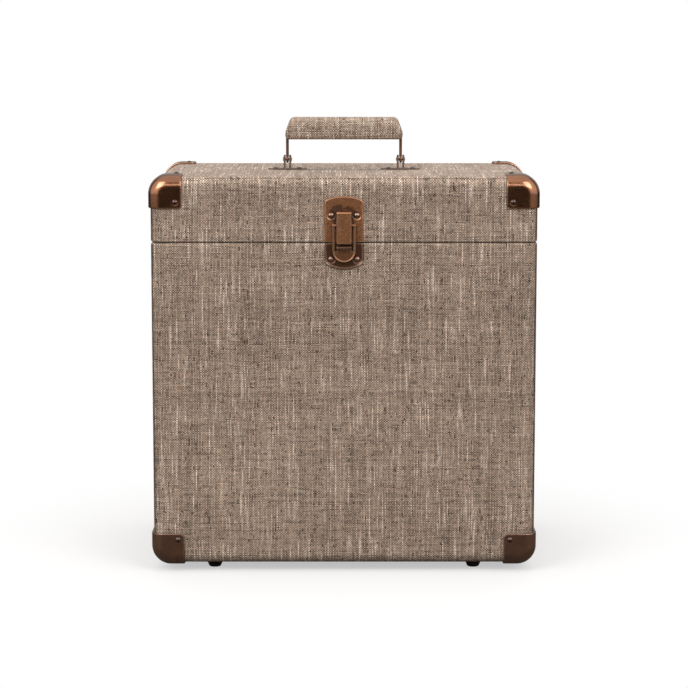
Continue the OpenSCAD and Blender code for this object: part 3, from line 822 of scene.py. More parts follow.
    def select(self, kind: str, wanted: Wanted) -> int:
        """Enters edit mode and selects vertices, edges or faces.

        Args:
            kind: VERT, EDGE or FACE.
            wanted: Says of each bmesh element whether it is selected.

        Returns:
            How many are selected.
        """
        if self.piece.mode != "EDIT":
            self.hold()
            bpy.ops.object.mode_set(mode="EDIT")
        bpy.ops.mesh.select_mode(type=kind)
        bpy.ops.mesh.select_all(action="DESELECT")
        mesh = bmesh.from_edit_mesh(self.piece.data)
        rows = {"VERT": mesh.verts, "EDGE": mesh.edges, "FACE": mesh.faces}[kind]
        picked = [row for row in rows if wanted(row)]
        for row in picked:
            row.select_set(True)
        mesh.select_flush_mode()
        bmesh.update_edit_mesh(self.piece.data)
        return len(picked)

    def cut(self, point: Point, normal: Point, drop: str = "", fill: bool = False) -> None:
        """Cuts the whole mesh along a plane.

        Args:
            point: A point on the plane.
            normal: The plane's normal.
            drop: "front" drops what the normal points at, "back" the rest, "" nothing.
            fill: Whether the cut is closed with a face.
        """
        self.select("VERT", every)
        bpy.ops.mesh.bisect(
            plane_co=point,
            plane_no=normal,
            use_fill=fill,
            clear_outer=drop == "front",
            clear_inner=drop == "back",
            threshold=1e-6,
        )

    def bevel(self, kind: str, wanted: Wanted, width: float, segments: int) -> None:
        """Rounds edges or corners.

        Args:
            kind: EDGE or VERT.
            wanted: Says which ones.
            width: How far the rounding reaches.
            segments: Number of its steps.
        """
        if self.select(kind, wanted):
            affect = "EDGES" if kind == "EDGE" else "VERTICES"
            bpy.ops.mesh.bevel(offset=width, segments=segments, affect=affect, profile=0.5)

    def extrude(self, wanted: Wanted, by: Point) -> None:
        """Extrudes faces.

        Args:
            wanted: Says which faces.
            by: How far they move.
        """
        self.select("FACE", wanted)
        bpy.ops.mesh.extrude_region_move(TRANSFORM_OT_translate={"value": by})

    def modify(self, kind: str, **settings: object) -> Workpiece:
        """Adds a modifier and applies it.

        Args:
            kind: Its type.
            settings: Its properties.

        Returns:
            The workpiece.
        """
        self.hold()
        made = self.piece.modifiers.new(kind.title(), kind)
        for key, value in settings.items():
            setattr(made, key, value)
        bpy.ops.object.modifier_apply(modifier=made.name)
        return self

    def carve(self, cutter: Workpiece) -> None:
        """Cuts another workpiece's form out of this one and throws it away."""
        self.modify("BOOLEAN", operation="DIFFERENCE", object=cutter.piece, solver="EXACT")
        bpy.data.objects.remove(cutter.piece)

    def soften(self, width: float, segments: int = 3, angle: float = 40.0) -> Workpiece:
        """Rounds every sharp edge a little, as stamping and handling do.

        Args:
            width: How far the rounding reaches.
            segments: Number of its steps.
            angle: Angle in degrees from which an edge is sharp.

        Returns:
            The workpiece.
        """
        return self.modify(
            "BEVEL",
            width=width,
            segments=segments,
            limit_method="ANGLE",
            angle_limit=math.radians(angle),
            use_clamp_overlap=True,
        )

    def join(self, others: Iterable[Workpiece]) -> Workpiece:
        """Joins other workpieces to this one.

        Args:
            others: The workpieces to join.

        Returns:
            The workpiece.
        """
        self.hold()
        for other in others:
            other.piece.select_set(True)
        bpy.ops.object.join()
        return self

    def repeat(self, moves: Sequence[Matrix]) -> Workpiece:
        """Copies the workpiece to new places, each copy with its own mesh, and joins the copies.

        Args:
            moves: One matrix for each place.

        Returns:
            The joined workpiece.
        """
        clear_selection()
        made = []
        for move in moves:
            twin = self.piece.copy()
            twin.data = self.piece.data.copy()
            twin.data.transform(move)
            bpy.context.scene.collection.objects.link(twin)
            made.append(Workpiece(twin))
        bpy.data.objects.remove(self.piece)
        return made[0].join(made[1:])

    def split(self) -> list[Workpiece]:
        """Separates the loose parts.

        Returns:
            A workpiece for each part.
        """
        self.select("VERT", every)
        bpy.ops.mesh.separate(type="LOOSE")
        bpy.ops.object.mode_set(mode="OBJECT")
        return [Workpiece(piece) for piece in list(bpy.context.selected_objects)]

    def middle(self) -> Point:
        """Gives the middle of the mesh's box."""
        rows = zip(*(v.co for v in self.piece.data.vertices))
        return tuple((min(row) + max(row)) / 2 for row in rows)

    def finish(
        self,
        name: str,
        body: Body,
        slot: Slot,
        material: bpy.types.Material,
        replaces: Sequence[str] = (),
        smooth: float = 40.0,
    ) -> bpy.types.Object:
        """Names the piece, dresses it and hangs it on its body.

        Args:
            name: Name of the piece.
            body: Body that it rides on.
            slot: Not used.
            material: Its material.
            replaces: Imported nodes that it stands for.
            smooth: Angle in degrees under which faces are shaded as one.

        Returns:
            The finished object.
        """
        self.hold()
        bpy.ops.object.shade_smooth_by_angle(angle=math.radians(smooth))
        self.modify("WEIGHTED_NORMAL", keep_sharp=True, weight=100)
        piece = self.piece
        piece.name = piece.data.name = name
        piece.data.materials.clear()
        piece.data.materials.append(material)
        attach(piece, body.value)
        if replaces:
            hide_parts(*replaces)
        LOG.info("%s: %d faces on %s", name, len(piece.data.polygons), body.value)
        piece.select_set(False)
        return piece


def dress(node: str, material: bpy.types.Material) -> None:
    """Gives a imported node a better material.

    Args:
        node: Name of the node.
        material: The material.
    """
    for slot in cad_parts[node].material_slots:
        slot.material = material


# Sub-assemblies


@dataclass(frozen=True)
class Covering:
    """The cloth and linings that cover the boards of body and lid."""

    boards: Matt = Matt("plywood", (0.62, 0.47, 0.31), (0.48, 0.34, 0.21), 0.7, (40.0, 6.0, 1.5))
    paper: Matt = Matt("lining_paper", (0.040, 0.032, 0.028), (0.060, 0.048, 0.042), 0.9)

    def build(self) -> None:
        """Dresses the boards, cloths and linings."""
        for half, wrap in (("body", Lay.UNDER_THE_BODY), ("lid", Lay.OVER_THE_LID)):
            dress(f"{half}_front_cloth", LinenCloth(Lay.UP_THE_FACE, seed=1.0).material())
            dress(f"{half}_back_cloth", LinenCloth(Lay.UP_THE_FACE, seed=31.0).material())
            dress(f"{half}_wrap_cloth", LinenCloth(wrap, seed=17.0).material())
        timber, lining = self.boards.material(), self.paper.material()
        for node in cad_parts:
            if node.endswith("_board") or node == "grip_core":
                dress(node, timber)
            elif node.endswith("_lining"):
                dress(node, lining)
        LOG.info("covering dressed")


@dataclass(frozen=True)
class SeamFolds:
    """The folded edges of the front and back cloths, where they end on the wrap cloth.

    Below shade_top_z the folds take a darker copy of the cloth, which paints shade along the edges.
    """

    seam_in: float = 0.004
    fold_w: float = 0.0016
    fold_h: float = 0.0004
    soft: float = 0.00018
    rim_gap: float = 0.002
    overrun: float = 0.001
    shade_top_z: float = 0.3575
    cloth: LinenCloth = LinenCloth(Lay.UP_THE_FACE, seed=1.0)
    # Painted shade: a darker copy of the cloth for the folds below the lid's top
    shaded_fold_cloth: LinenCloth = LinenCloth(
        Lay.UP_THE_FACE, seed=2.0, warp=(0.17, 0.105, 0.075), weft=(0.09, 0.053, 0.037),
        pale=(0.27, 0.18, 0.13),
    )

    def build(self) -> None:
        """Lays a fold round the front and the back of body and lid, painted dark as shade but over the
        lid's top.
        """
        cloth, shaded_fold_cloth = self.cloth.material(), self.shaded_fold_cloth.material()
        for half, body, low_z, high_z, stuff in (
            ("lid_top", Body.LID, self.shade_top_z, CASE.high_z + self.overrun, cloth),
            ("lid", Body.LID, CASE.split_z + self.rim_gap, self.shade_top_z, shaded_fold_cloth),
            ("body", Body.CASE, CASE.low_z - self.overrun, CASE.split_z - self.rim_gap, shaded_fold_cloth),
        ):
            for face, side in (("front", -1), ("back", 1)):
                work = Workpiece.case_form(0.0, 16, 24)
                edge = side * (CASE.half_d - self.seam_in)
                work.cut((0, edge, 0), (0, side, 0), "front")
                work.cut((0, edge - side * self.fold_w, 0), (0, side, 0), "back")
                work.cut((0, 0, low_z), (0, 0, 1), "back")
                work.cut((0, 0, high_z), (0, 0, 1), "front")
                work.modify("SOLIDIFY", thickness=self.fold_h, offset=1.0)
                work.soften(self.soft, 2).finish(f"{half}_{face}_fold", body, Slot.CLOTH, stuff)


@dataclass(frozen=True)
class CornerGuards:
    """Eight stamped corner guards with their edges turned down on the cloth."""

    proud: float = 0.002
    reach: float = 0.031
    corner_r: float = 0.0035
    depth: float = 0.0021
    roll: float = 0.0012
    bowl_w: float = 0.0082
    bowl_depth: float = 0.0005
    rivet_in: float = 0.0252
    bright: AntiqueCopper = AntiqueCopper(
        "guard_copper", body=(0.36, 0.148, 0.068), age=0.0, mottle_mm=6.0, roughness=0.24, edge_mm=2.0,
        speckle=0.12, grime_and_shade=0.3,
    )
    dull: AntiqueCopper = AntiqueCopper(
        "guard_dull", body=(0.200, 0.098, 0.056), rubbed_and_highlight=(0.70, 0.46, 0.34), patina_and_shade=(0.045, 0.022, 0.014),
        age=0.0, mottle_mm=6.0, edge_mm=2.0, coat=0.6, speckle=0.2, grime_and_shade=0.3,
    )

    def ends(self) -> tuple[Sequence[float], Sequence[float]]:
        """Gives the lowest and highest x, y and z of the guards' outer faces."""
        x, y = CASE.half_w + self.proud, CASE.half_d + self.proud
        return (-x, -y, CASE.low_z - self.proud), (x, y, CASE.high_z + self.proud)

    def rivet_places(self, top: bool) -> list[Place]:
        """Finds the twelve rivets of the upper or lower guards.

        Args:
            top: Whether they are the upper ones.

        Returns:
            Place on the guard's surface and outward direction of each rivet.
        """
        low, (x, y, high_z) = self.ends()
        up, end_z = (1.0, high_z) if top else (-1.0, low[2])
        in_x, in_y, in_z = x - self.rivet_in, y - self.rivet_in, end_z - up * self.rivet_in
        places = []
        for side in (-1, 1):
            for face in (-1, 1):
                places += [
                    ((side * in_x, face * y, in_z), (0.0, face, 0.0)),
                    ((side * x, face * in_y, in_z), (side, 0.0, 0.0)),
                    ((side * in_x, face * in_y, end_z), (0.0, 0.0, up)),
                ]
        return places

    def off_corner(self, face: bmesh.types.BMFace) -> bool:
        """Says whether a face of the case's form lies away from the corners."""
        rows = zip(face.calc_center_median(), *self.ends())
        return any(low + self.reach < at < high - self.reach for at, low, high in rows)

    def build(self) -> None:
        """Shapes all eight guards from the case's form and hangs them on body and lid."""
        work = Workpiece.case_form(self.proud, 14, 10)
        for axis, (low, high) in enumerate(zip(*self.ends())):
            normal = tuple(float(k == axis) for k in range(3))
            for at in (low + self.reach, high - self.reach):
                work.cut(tuple(at * k for k in normal), normal)
        if work.select("FACE", self.off_corner):
            bpy.ops.mesh.delete(type="FACE")
        work.bevel("VERT", lambda v: len(v.link_faces) == 1, self.corner_r, 5)
        work.modify("SOLIDIFY", thickness=self.depth, offset=-1.0, use_even_offset=True)
        work.soften(self.roll, 5, 50.0)
        places = self.rivet_places(True) + self.rivet_places(False)
        inward = [(foot, tuple(-k for k in out)) for foot, out in places]
        work.carve(Workpiece.domes(self.bowl_w, self.bowl_depth, inward))
        bright, dull = self.bright.material(), self.dull.material()
        for guard in work.split():
            x, y, z = guard.middle()
            level, body, slot, metal = "bottom", Body.CASE, Slot.DARK_COPPER, dull
            if z > CASE.split_z:
                level, body, slot, metal = "top", Body.LID, Slot.COPPER, bright
            node = f"guard_{level}_{'front' if y < 0 else 'back'}_{'left' if x < 0 else 'right'}"
            guard.finish(f"{node}_stamping", body, slot, metal, (node,))


@dataclass(frozen=True)
class ArchedPlate:
    """A latch plate with a raised rim on all but its straight edge, and a bowl round each rivet."""

    width: float
    edge_z: float
    arch_z: float
    arch_r: float
    rivet_z: float
    rivet_x: float = 0.01185
    thick: float = 0.001
    rim_h: float = 0.0009
    rim_w: float = 0.0017
    bowl_r: float = 0.0042
    bowl_depth: float = 0.0008
    shoulder_r: float = 0.003
    lip: float = 0.003
    soft: float = 0.00012

    def shape(self) -> Workpiece:
        """Shapes the plate.

        Returns:
            The plate.
        """
        up = 1.0 if self.arch_z > self.edge_z else -1.0

        def shoulder(vert: bmesh.types.BMVert) -> bool:
            """Says whether a corner is one of the two beside the arch."""
            return near(abs(vert.co.x), self.width / 2) and (vert.co.z - self.edge_z) * up > 0

        centre = (0.0, FRONT_Y, self.arch_z - up * self.arch_r)
        work = Workpiece.disc(centre, self.arch_r, (0, -1, 0), 40)
        for side in (-1, 1):
            work.cut((side * self.width / 2, 0, 0), (side, 0, 0), "front")
        work.cut((0, 0, self.edge_z - up * self.lip), (0, 0, up), "back")
        work.bevel("VERT", shoulder, self.shoulder_r, 8)
        work.extrude(every, (0.0, -self.thick, 0.0))
        work.select("FACE", lambda f: near(f.calc_center_median().y, FRONT_Y - self.thick))
        for across, rise in ((0.2, 0.55), (0.3, 0.45), (0.3, -0.45), (0.2, -0.55)):
            bpy.ops.mesh.inset(thickness=across * self.rim_w, depth=rise * self.rim_h)
        work.cut((0, 0, self.edge_z), (0, 0, up), "back", True)
        radius = ball_radius(self.bowl_r, self.bowl_depth)
        for side in (-1, 1):
            centre = (side * self.rivet_x, FRONT_Y - self.thick + self.bowl_depth - radius, self.rivet_z)
            work.carve(Workpiece.ball(centre, radius, 96, 128, math.pi / 2))
        return work


@dataclass(frozen=True)
class BentStrip:
    """A strip of sheet that comes out of a plate and is bent down along it."""

    width: float
    top_z: float
    low_z: float
    out: float
    thick: float = 0.001
    bend: float = 0.0016
    soft: float = 0.00028

    def shape(self) -> Workpiece:
        """Shapes the strip.

        Returns:
            The strip.
        """
        half = self.width / 2
        turn_y, turn_z = FRONT_Y - self.out + self.bend, self.top_z - self.bend
        work = Workpiece.block((-half, turn_y, self.top_z - self.thick), (half, FRONT_Y, self.top_z))
        work.select("FACE", lambda f: f.normal.y < -0.9)
        bpy.ops.mesh.spin(
            steps=8, angle=-math.pi / 2, center=(0.0, turn_y, turn_z), axis=(1.0, 0.0, 0.0)
        )
        down = (0.0, 0.0, self.low_z - turn_z)
        bpy.ops.mesh.extrude_region_move(TRANSFORM_OT_translate={"value": down})
        return work.soften(self.soft)


@dataclass(frozen=True)
class Hasp:
    """The swinging frame of the latch: a window, a round thumb tab and a crossbar that it hangs on."""

    width: float = 0.0214
    pivot_y: float = -0.1078
    pivot_z: float = 0.3256
    window_w: float = 0.0173
    window_z: float = 0.3019
    tab_z: float = 0.2917
    back_y: float = -0.1072
    thick: float = 0.0018
    border: float = 0.0011
    dish: float = 0.0006
    bar_r: float = 0.0014
    dish_area: float = 0.0003
    spare: float = 0.002
    soft: float = 0.0004
    bar_soft: float = 0.0005

    def shape(self) -> Workpiece:
        """Shapes the frame with its dished face, cuts the window and adds the crossbar.

        Returns:
            The hasp.
        """
        half, front_y = self.width / 2, self.back_y - self.thick
        round_z = self.tab_z + half

        def outer(face: bmesh.types.BMFace) -> bool:
            """Says whether a face lies in the hasp's front."""
            return near(face.calc_center_median().y, front_y)

        work = Workpiece.disc((0.0, self.back_y, round_z), half, (0, -1, 0), 64)
        work.select("VERT", lambda v: v.co.z > round_z + 1e-5)
        bpy.ops.transform.translate(value=(0.0, 0.0, self.pivot_z - round_z))
        work.cut((0, 0, self.pivot_z), (0, 0, 1), "front")
        work.extrude(every, (0.0, -self.thick, 0.0))
        work.select("FACE", outer)
        bpy.ops.mesh.inset(thickness=self.border, depth=0.0, use_even_offset=True)
        work.extrude(lambda f: outer(f) and f.calc_area() > self.dish_area, (0, self.dish, 0))
        work.carve(Workpiece.block(
            (-self.window_w / 2, front_y - self.spare, self.window_z),
            (self.window_w / 2, self.back_y + self.spare, self.pivot_z + self.spare),
        ))
        work.soften(self.soft, 4)
        left, right = ((x, self.pivot_y, self.pivot_z) for x in (-half, half))
        return work.join([Workpiece.rod(left, right, self.bar_r).soften(self.bar_soft, 4)])


@dataclass(frozen=True)
class Latch:
    """Arched plates, a spring strap out of the upper one, a hook on the lower one, and the hasp."""

    upper: ArchedPlate = ArchedPlate(0.0364, 0.3105, 0.3525, 0.0415, rivet_z=0.3346)
    lower: ArchedPlate = ArchedPlate(0.036, 0.3088, 0.2851, 0.0308, rivet_z=0.2943)
    strap: BentStrip = BentStrip(0.0133, 0.3382, 0.3088, 0.0056)
    hook: BentStrip = BentStrip(0.013, 0.3066, 0.3022, 0.0053)
    hasp: Hasp = Hasp()
    slit_r: float = 0.005
    slit_z: float = 0.3372
    slit_y: tuple[float, float] = (FRONT_Y - 0.003, FRONT_Y - 0.0002)
    ridge_r: float = 0.0011
    ridge_apart: float = 0.0046
    plate_metal: AntiqueCopper = AntiqueCopper(
        "latch_copper", body=(0.52, 0.235, 0.105), rubbed_and_highlight=(1.0, 0.66, 0.46), age=0.35, roughness=0.42,
        edge_mm=0.9, coat=0.25,
        # Dark spots: patina with painted shade round the strap and the hasp, and painted shade in the
        # strap's slit
        dark_spots=((0.0, 336.0, 15.0, 8.6), (0.0, 338.6, 4.4, 1.3)),
    )
    catch_metal: AntiqueCopper = AntiqueCopper(
        "catch_copper", body=(0.17, 0.082, 0.044), rubbed_and_highlight=(0.95, 0.62, 0.45), age=0.6, roughness=0.42,
        # Dark spot: painted shade along the top of the catch plate, where the hook and the strap's end
        # shade it
        edge_mm=0.9, coat=0.25, dark_spots=((0.0, 307.8, 8.5, 1.7),),
    )
    strap_metal: AntiqueCopper = AntiqueCopper(
        "strap_copper", body=(0.66, 0.30, 0.142), rubbed_and_highlight=(1.0, 0.72, 0.56), age=0.1, roughness=0.40,
        edge_mm=0.9, coat=0.3, speckle=0.4,
    )
    hasp_metal: AntiqueCopper = AntiqueCopper(
        "hasp_copper", body=(0.44, 0.196, 0.090), rubbed_and_highlight=(1.0, 0.66, 0.47), age=0.4, roughness=0.38,
        edge_mm=0.9, coat=0.3,
    )

    def upper_plate(self) -> Workpiece:
        """Shapes the upper plate with the strap's slit and the two ridges that cradle the crossbar.

        Returns:
            The plate.
        """
        work = self.upper.shape()
        outside, inside = ((0.0, y, self.upper.rivet_z) for y in self.slit_y)
        slit = Workpiece.rod(outside, inside, self.slit_r, 64)
        slit.cut((0.0, 0.0, self.slit_z), (0.0, 0.0, 1.0), "back", True)
        work.carve(slit)
        work.soften(self.upper.soft, 2, 50.0)
        half, y = self.strap.width / 2, FRONT_Y - self.upper.thick
        ridges = []
        for side in (-1, 1):
            z = self.hasp.pivot_z + side * self.ridge_apart / 2
            ridges.append(Workpiece.rod((-half, y, z), (half, y, z), self.ridge_r))
        return work.join(ridges)

    def lower_plate(self) -> Workpiece:
        """Shapes the catch plate with its hook.

        Returns:
            The plate.
        """
        return self.lower.shape().soften(self.lower.soft, 2, 50.0).join([self.hook.shape()])

    def build(self) -> None:
        """Builds the latch and hangs its pieces on lid, body and hasp."""
        for work, name, body, metal, node in (
            (self.upper_plate(), "latch_plate_stamping", Body.LID, self.plate_metal, "latch_plate"),
            (self.lower_plate(), "catch_plate_stamping", Body.CASE, self.catch_metal, "catch_plate"),
            (self.strap.shape(), "spring_strap", Body.LID, self.strap_metal, "latch_strap"),
            (self.hasp.shape(), "hasp_stamping", Body.HASP, self.hasp_metal, "latch_hasp"),
        ):
            work.finish(name, body, Slot.COPPER, metal.material(), (node,))


@dataclass(frozen=True)
class Rivets:
    """Domed rivet heads, made once and copied to their places."""

    width: float = 0.0056
    height: float = 0.0012
    tall: float = 0.0017
    latch_width: float = 0.006
    sunk: float = 0.0005
    latch_y: float = -0.1056
    hinge_x: float = 0.112
    hinge_apart: float = 0.024
    hinge_y: float = 0.106
    hinge_z: tuple[float, float] = (0.3215, 0.2975)
    bracket_x: float = 0.0544
    bracket_apart: float = 0.0228
    bracket_z: float = 0.371
    bright: AntiqueCopper = AntiqueCopper(
        "rivet_copper", body=(0.085, 0.045, 0.032), age=0.2, roughness=0.30, edge_mm=0.4
    )
    dull: AntiqueCopper = AntiqueCopper(
        "rivet_dull", body=(0.30, 0.175, 0.125), rubbed_and_highlight=(0.55, 0.38, 0.29), age=0.2, roughness=0.30,
        coat=0.35, speckle=0.15,
    )

    @staticmethod
    def pairs(x: float, apart: float, y: float, z: float, out: Point) -> list[Place]:
        """Finds a pair of rivets on the left of the case and one on the right.

        Args:
            x: Distance of each pair's middle from the middle of the case.
            apart: Spacing of a pair.
            y: Place from front to back.
            z: Height.
            out: Outward direction.

        Returns:
            Foot and outward direction of each rivet.
        """
        return [
            ((side * x + step * apart / 2, y, z), out) for side in (-1, 1) for step in (-1, 1)
        ]

    def build(self) -> None:
        """Places every rivet head that shows."""
        bright, dull = self.bright.material(), self.dull.material()
        for half, body, top in (("lid", Body.LID, True), ("body", Body.CASE, False)):
            places = [
                (tuple(a - self.sunk * b for a, b in zip(foot, out)), out)
                for foot, out in CornerGuards().rivet_places(top)
            ]
            Workpiece.domes(self.width, self.tall, places).finish(
                f"{half}_guard_domes", body, Slot.COPPER, bright, (f"{half}_guard_rivets",)
            )
        for node, body, plate in (("latch", Body.LID, Latch.upper), ("catch", Body.CASE, Latch.lower)):
            places = [
                ((side * plate.rivet_x, self.latch_y, plate.rivet_z), (0.0, -1.0, 0.0)) for side in (-1, 1)
            ]
            Workpiece.domes(self.latch_width, self.tall, places).finish(
                f"{node}_domes", body, Slot.DARK_COPPER, dull, (f"{node}_rivets",)
            )
        for half, body, z in (("lid", Body.LID, self.hinge_z[0]), ("body", Body.CASE, self.hinge_z[1])):
            places = self.pairs(self.hinge_x, self.hinge_apart, self.hinge_y, z, (0.0, 1.0, 0.0))
            Workpiece.domes(self.width, self.height, places).finish(
                f"hinge_{half}_domes", body, Slot.COPPER, bright, (f"hinge_{half}_rivets",)
            )
        places = self.pairs(self.bracket_x, self.bracket_apart, 0.0, self.bracket_z, (0.0, 0.0, 1.0))
        Workpiece.domes(self.width, self.height, places).finish(
            "bracket_domes", Body.LID, Slot.COPPER, bright, ("handle_bracket_rivets",)
        )


@dataclass(frozen=True)
class Handle:
    """The padded grip with its wire bail, brackets and pivots."""

    crown_r: float = 0.0105
    sole_r: float = 0.0036
    end_r: float = 0.0034
    voxel: float = 0.0011
    soft: float = 0.0003
    leg: AntiqueCopper = AntiqueCopper(
        "bail_copper", body=(0.22, 0.105, 0.052), rubbed_and_highlight=(0.62, 0.34, 0.21), age=0.0, roughness=0.34,
        speckle=0.1,
    )
    foot: AntiqueCopper = AntiqueCopper(
        "bracket_copper", body=(0.105, 0.062, 0.044), rubbed_and_highlight=(0.40, 0.28, 0.21), age=0.3, roughness=0.5,
        coat=0.1, metallic=0.6,
    )
    pin: AntiqueCopper = AntiqueCopper("pivot_copper", body=(0.25, 0.15, 0.11), age=0.4, roughness=0.28)

    def grip(self) -> Workpiece:
        """Shapes the grip as a soft loaf with slanting ends.

        Returns:
            The grip.
        """
        low, high = (-GRIP.half_len, -GRIP.half_d, GRIP.low_z), (GRIP.half_len, GRIP.half_d, GRIP.high_z)
        work = Workpiece.block(low, high)
        lean = Vector((GRIP.high_z - GRIP.shoulder_z, 0.0, GRIP.slant)).normalized()
        for side in (-1, 1):
            point, normal = (side * GRIP.half_len, 0.0, GRIP.shoulder_z), (side * lean.x, 0.0, lean.z)
            work.cut(point, normal, "front", True)

        def lengthwise(edge: bmesh.types.BMEdge) -> bool:
            """Says whether an edge runs along the grip."""
            return abs(edge.verts[0].co.x - edge.verts[1].co.x) > GRIP.half_len

        def sole(edge: bmesh.types.BMEdge) -> bool:
            """Says whether an edge is one of the two long ones under the grip."""
            at = edge.verts[0].co
            return lengthwise(edge) and at.z < GRIP.low_z + 1e-5 and near(abs(at.y), GRIP.half_d)

        def end(edge: bmesh.types.BMEdge) -> bool:
            """Says whether an edge goes round an end of the grip."""
            sharp = edge.is_manifold and abs(edge.calc_face_angle(0.0)) > math.radians(50)
            return sharp and not lengthwise(edge)

        work.bevel(
            "EDGE", lambda e: lengthwise(e) and e.verts[0].co.z > GRIP.shoulder_z, self.crown_r, 10
        )
        work.bevel("EDGE", sole, self.sole_r, 6)
        work.bevel("EDGE", end, self.end_r, 6)
        work.modify("REMESH", mode="VOXEL", voxel_size=self.voxel)
        return work.modify("SMOOTH", factor=0.5, iterations=8)

    def build(self) -> None:
        """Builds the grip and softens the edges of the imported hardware."""
        cloth = LinenCloth(Lay.ROUND_THE_GRIP, seed=47.0).material()
        grip = self.grip().finish("grip_padding", Body.HANDLE, Slot.CLOTH, cloth, ("grip_cloth",), 180.0)
        Workpiece.copy_of("handle_bail").soften(self.soft, 2, 60.0).finish(
            "bail_wire", Body.HANDLE, Slot.COPPER, self.leg.material(), ("handle_bail",)
        )
        foot, pin = self.foot.material(), self.pin.material()
        for side in ("left", "right"):
            node = f"handle_bracket_{side}"
            Workpiece.copy_of(node).soften(self.soft, 3, 50.0).finish(
                f"bracket_{side}", Body.LID, Slot.COPPER, foot, (node,)
            )
            dress(f"handle_pivot_{side}", pin)


@dataclass(frozen=True)
class Hinges:
    """The two butt hinges behind the case."""

    soft: float = 0.0002
    metal: AntiqueCopper = AntiqueCopper("hinge_copper", body=(0.26, 0.145, 0.095), age=0.4, roughness=0.40)

    def build(self) -> None:
        """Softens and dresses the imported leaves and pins."""
        metal = self.metal.material()
        for side in ("left", "right"):
            for half, body in (("lid", Body.LID), ("body", Body.CASE)):
                node = f"hinge_{half}_leaf_{side}"
                Workpiece.copy_of(node).soften(self.soft, 2, 50.0).finish(
                    f"{half}_leaf_{side}", body, Slot.DARK_COPPER, metal, (node,)
                )
            dress(f"hinge_pin_{side}", metal)


@dataclass(frozen=True)
class Feet:
    """Rubber feet and their screws."""

    rubber: Matt = Matt("foot_rubber", (0.020, 0.016, 0.014), (0.034, 0.026, 0.022), 0.62)
    steel: AntiqueCopper = AntiqueCopper(
        "screw_steel", body=(0.30, 0.27, 0.24), rubbed_and_highlight=(0.6, 0.57, 0.53), age=0.3
    )

    def build(self) -> None:
        """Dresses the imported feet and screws."""
        rubber, steel = self.rubber.material(), self.steel.material()
        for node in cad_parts:
            if node.startswith("foot_"):
                dress(node, steel if node == "foot_screws" else rubber)


@dataclass(frozen=True)
class Lamp:
    """A soft square lamp that points at the case."""

    name: str
    place: Point
    size: float
    power: float
    in_metal: bool = True
    colour: Colour = (1.0, 0.985, 0.97)
    aim: Point = (0.0, 0.0, 0.26)

    def hang(self) -> None:
        """Hangs the lamp."""
        light = bpy.data.lights.new(self.name, "AREA")
        light.size, light.energy, light.color = self.size, self.power, self.colour
        lamp = bpy.data.objects.new(self.name, light)
        bpy.context.scene.collection.objects.link(lamp)
        lamp.location = self.place
        lamp.rotation_euler = (Vector(self.aim) - Vector(self.place)).to_track_quat("-Z", "Y").to_euler()
        lamp.visible_glossy = self.in_metal


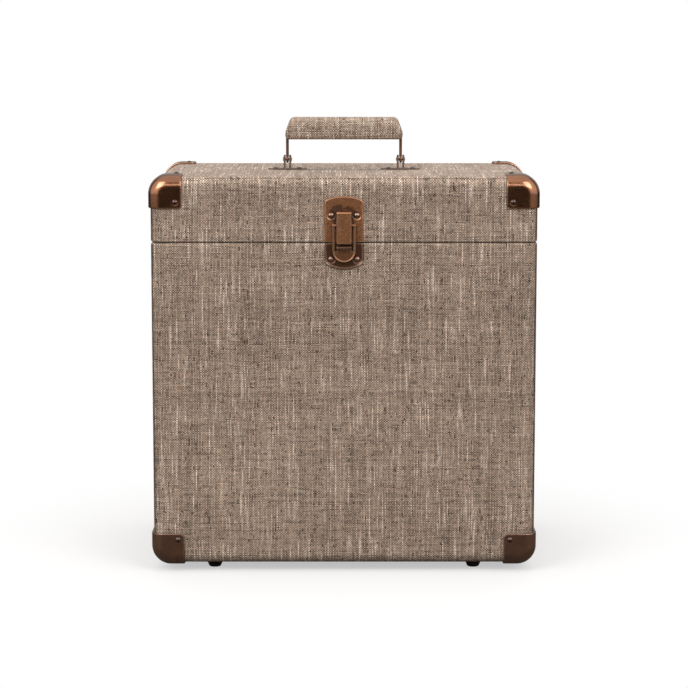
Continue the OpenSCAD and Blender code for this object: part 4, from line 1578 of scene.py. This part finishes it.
@dataclass(frozen=True)
class Studio:
    """Floor, backdrop, lamps and camera."""

    lamps: tuple[Lamp, ...] = (
        Lamp("key", (-1.08, -1.28, 1.38), 1.0, 14.9),
        Lamp("fill", (1.08, -1.28, 1.38), 1.0, 13.1),
        Lamp("overhead", (0.0, 0.10, 1.7), 0.9, 6.4, in_metal=False),
    )
    paper: Colour = (0.86, 0.85, 0.84)
    felt: Colour = (0.15, 0.135, 0.12)
    floor_r: float = 0.75
    fade_mm: tuple[float, float] = (200.0, 420.0)
    lens_mm: float = 110.7
    shift: float = -0.07
    camera_place: Point = (0.0, -2.036, 0.5048)
    tilt: float = 7.21

    def build(self) -> None:
        """Sets up the studio."""
        self.floor()
        self.world()
        for lamp in self.lamps:
            lamp.hang()
        self.camera()

    def floor(self) -> None:
        """Lays a pale floor that fades into the white backdrop and looks dark in the metal."""
        clear_selection()
        bpy.ops.mesh.primitive_circle_add(vertices=96, radius=self.floor_r, fill_type="NGON")
        floor = bpy.context.object
        floor.name = "floor"
        r = Recipe.material("floor_paper")
        x, y, _ = r.millimetres()
        faded = (x * x + y * y).math("SQRT").step(*self.fade_mm, 0.5, 1.0)
        paper = r.node("BsdfDiffuse", {"Color": self.paper}).outputs[0]
        felt = r.node("BsdfDiffuse", {"Color": self.felt}).outputs[0]
        pale = r.mix_shaders(faded, paper, r.node("Emission").outputs[0])
        seen = r.value(r.node("LightPath"), "Is Camera Ray")
        r.node("OutputMaterial", {0: r.mix_shaders(seen, felt, pale)})
        floor.data.materials.append(r.owner)

    def world(self) -> None:
        """Hangs a white backdrop behind the case, with a darker room in front of it.

        The steps are read from the direction that a ray goes: x is 1 to the right, y is 1 away
        from the camera and z is 1 straight up.
        """
        world = bpy.data.worlds.new("studio")
        bpy.context.scene.world = world
        r = Recipe(world)
        path = r.node("LightPath")
        x, y, z = r.split(r.node("TexCoord").outputs["Generated"])
        sides = abs(x).step(0.30, 0.62) * y.step(0.45, 0.05) * z.step(-0.12, 0.02)
        above = z.step(0.55, 0.90, 0.0, 0.85)
        strip = z.step(0.30, 0.36) * z.step(0.52, 0.46, 0.0, 2.2) * y.step(-0.55, -0.75)
        behind = y.step(0.40, 0.70) * z.step(0.0, 0.05, 0.12, 0.80)
        behind = behind * r.value(path, "Is Glossy Ray").step(0.0, 1.0, 1.0, 0.5)
        room = sides.at_least(above).at_least(strip.at_least(behind)).at_least(0.03)
        seen = r.value(path, "Is Camera Ray").at_least(r.value(path, "Is Transmission Ray"))
        inputs = {"Color": (1.0, 1.0, 1.0), "Strength": seen.at_least(room)}
        r.node("OutputWorld", {0: r.node("Background", inputs).outputs[0]})

    def camera(self) -> None:
        """Stands the camera where the photograph was taken from."""
        lens = bpy.data.cameras.new("camera")
        lens.lens, lens.sensor_width, lens.shift_y = self.lens_mm, 36.0, self.shift
        lens.clip_start, lens.clip_end = 0.1, 50.0
        stand = bpy.data.objects.new("camera", lens)
        scene = bpy.context.scene
        scene.collection.objects.link(stand)
        stand.location = self.camera_place
        stand.rotation_euler = (math.radians(90.0 - self.tilt), 0.0, 0.0)
        scene.camera = stand
        scene.view_settings.view_transform = "Standard"
        # Keeps the denoiser from smearing a weave that is finer than two pixels
        scene.cycles.denoising_prefilter = "NONE"


def main() -> None:
    """Builds the sub-assemblies in order."""
    logging.basicConfig(level=logging.INFO, format="%(message)s")
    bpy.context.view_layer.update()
    Studio().build()
    for part in (Covering(), SeamFolds(), CornerGuards(), Rivets(), Latch(), Handle(), Hinges(), Feet()):
        part.build()


if __name__ == "__main__":
    main()
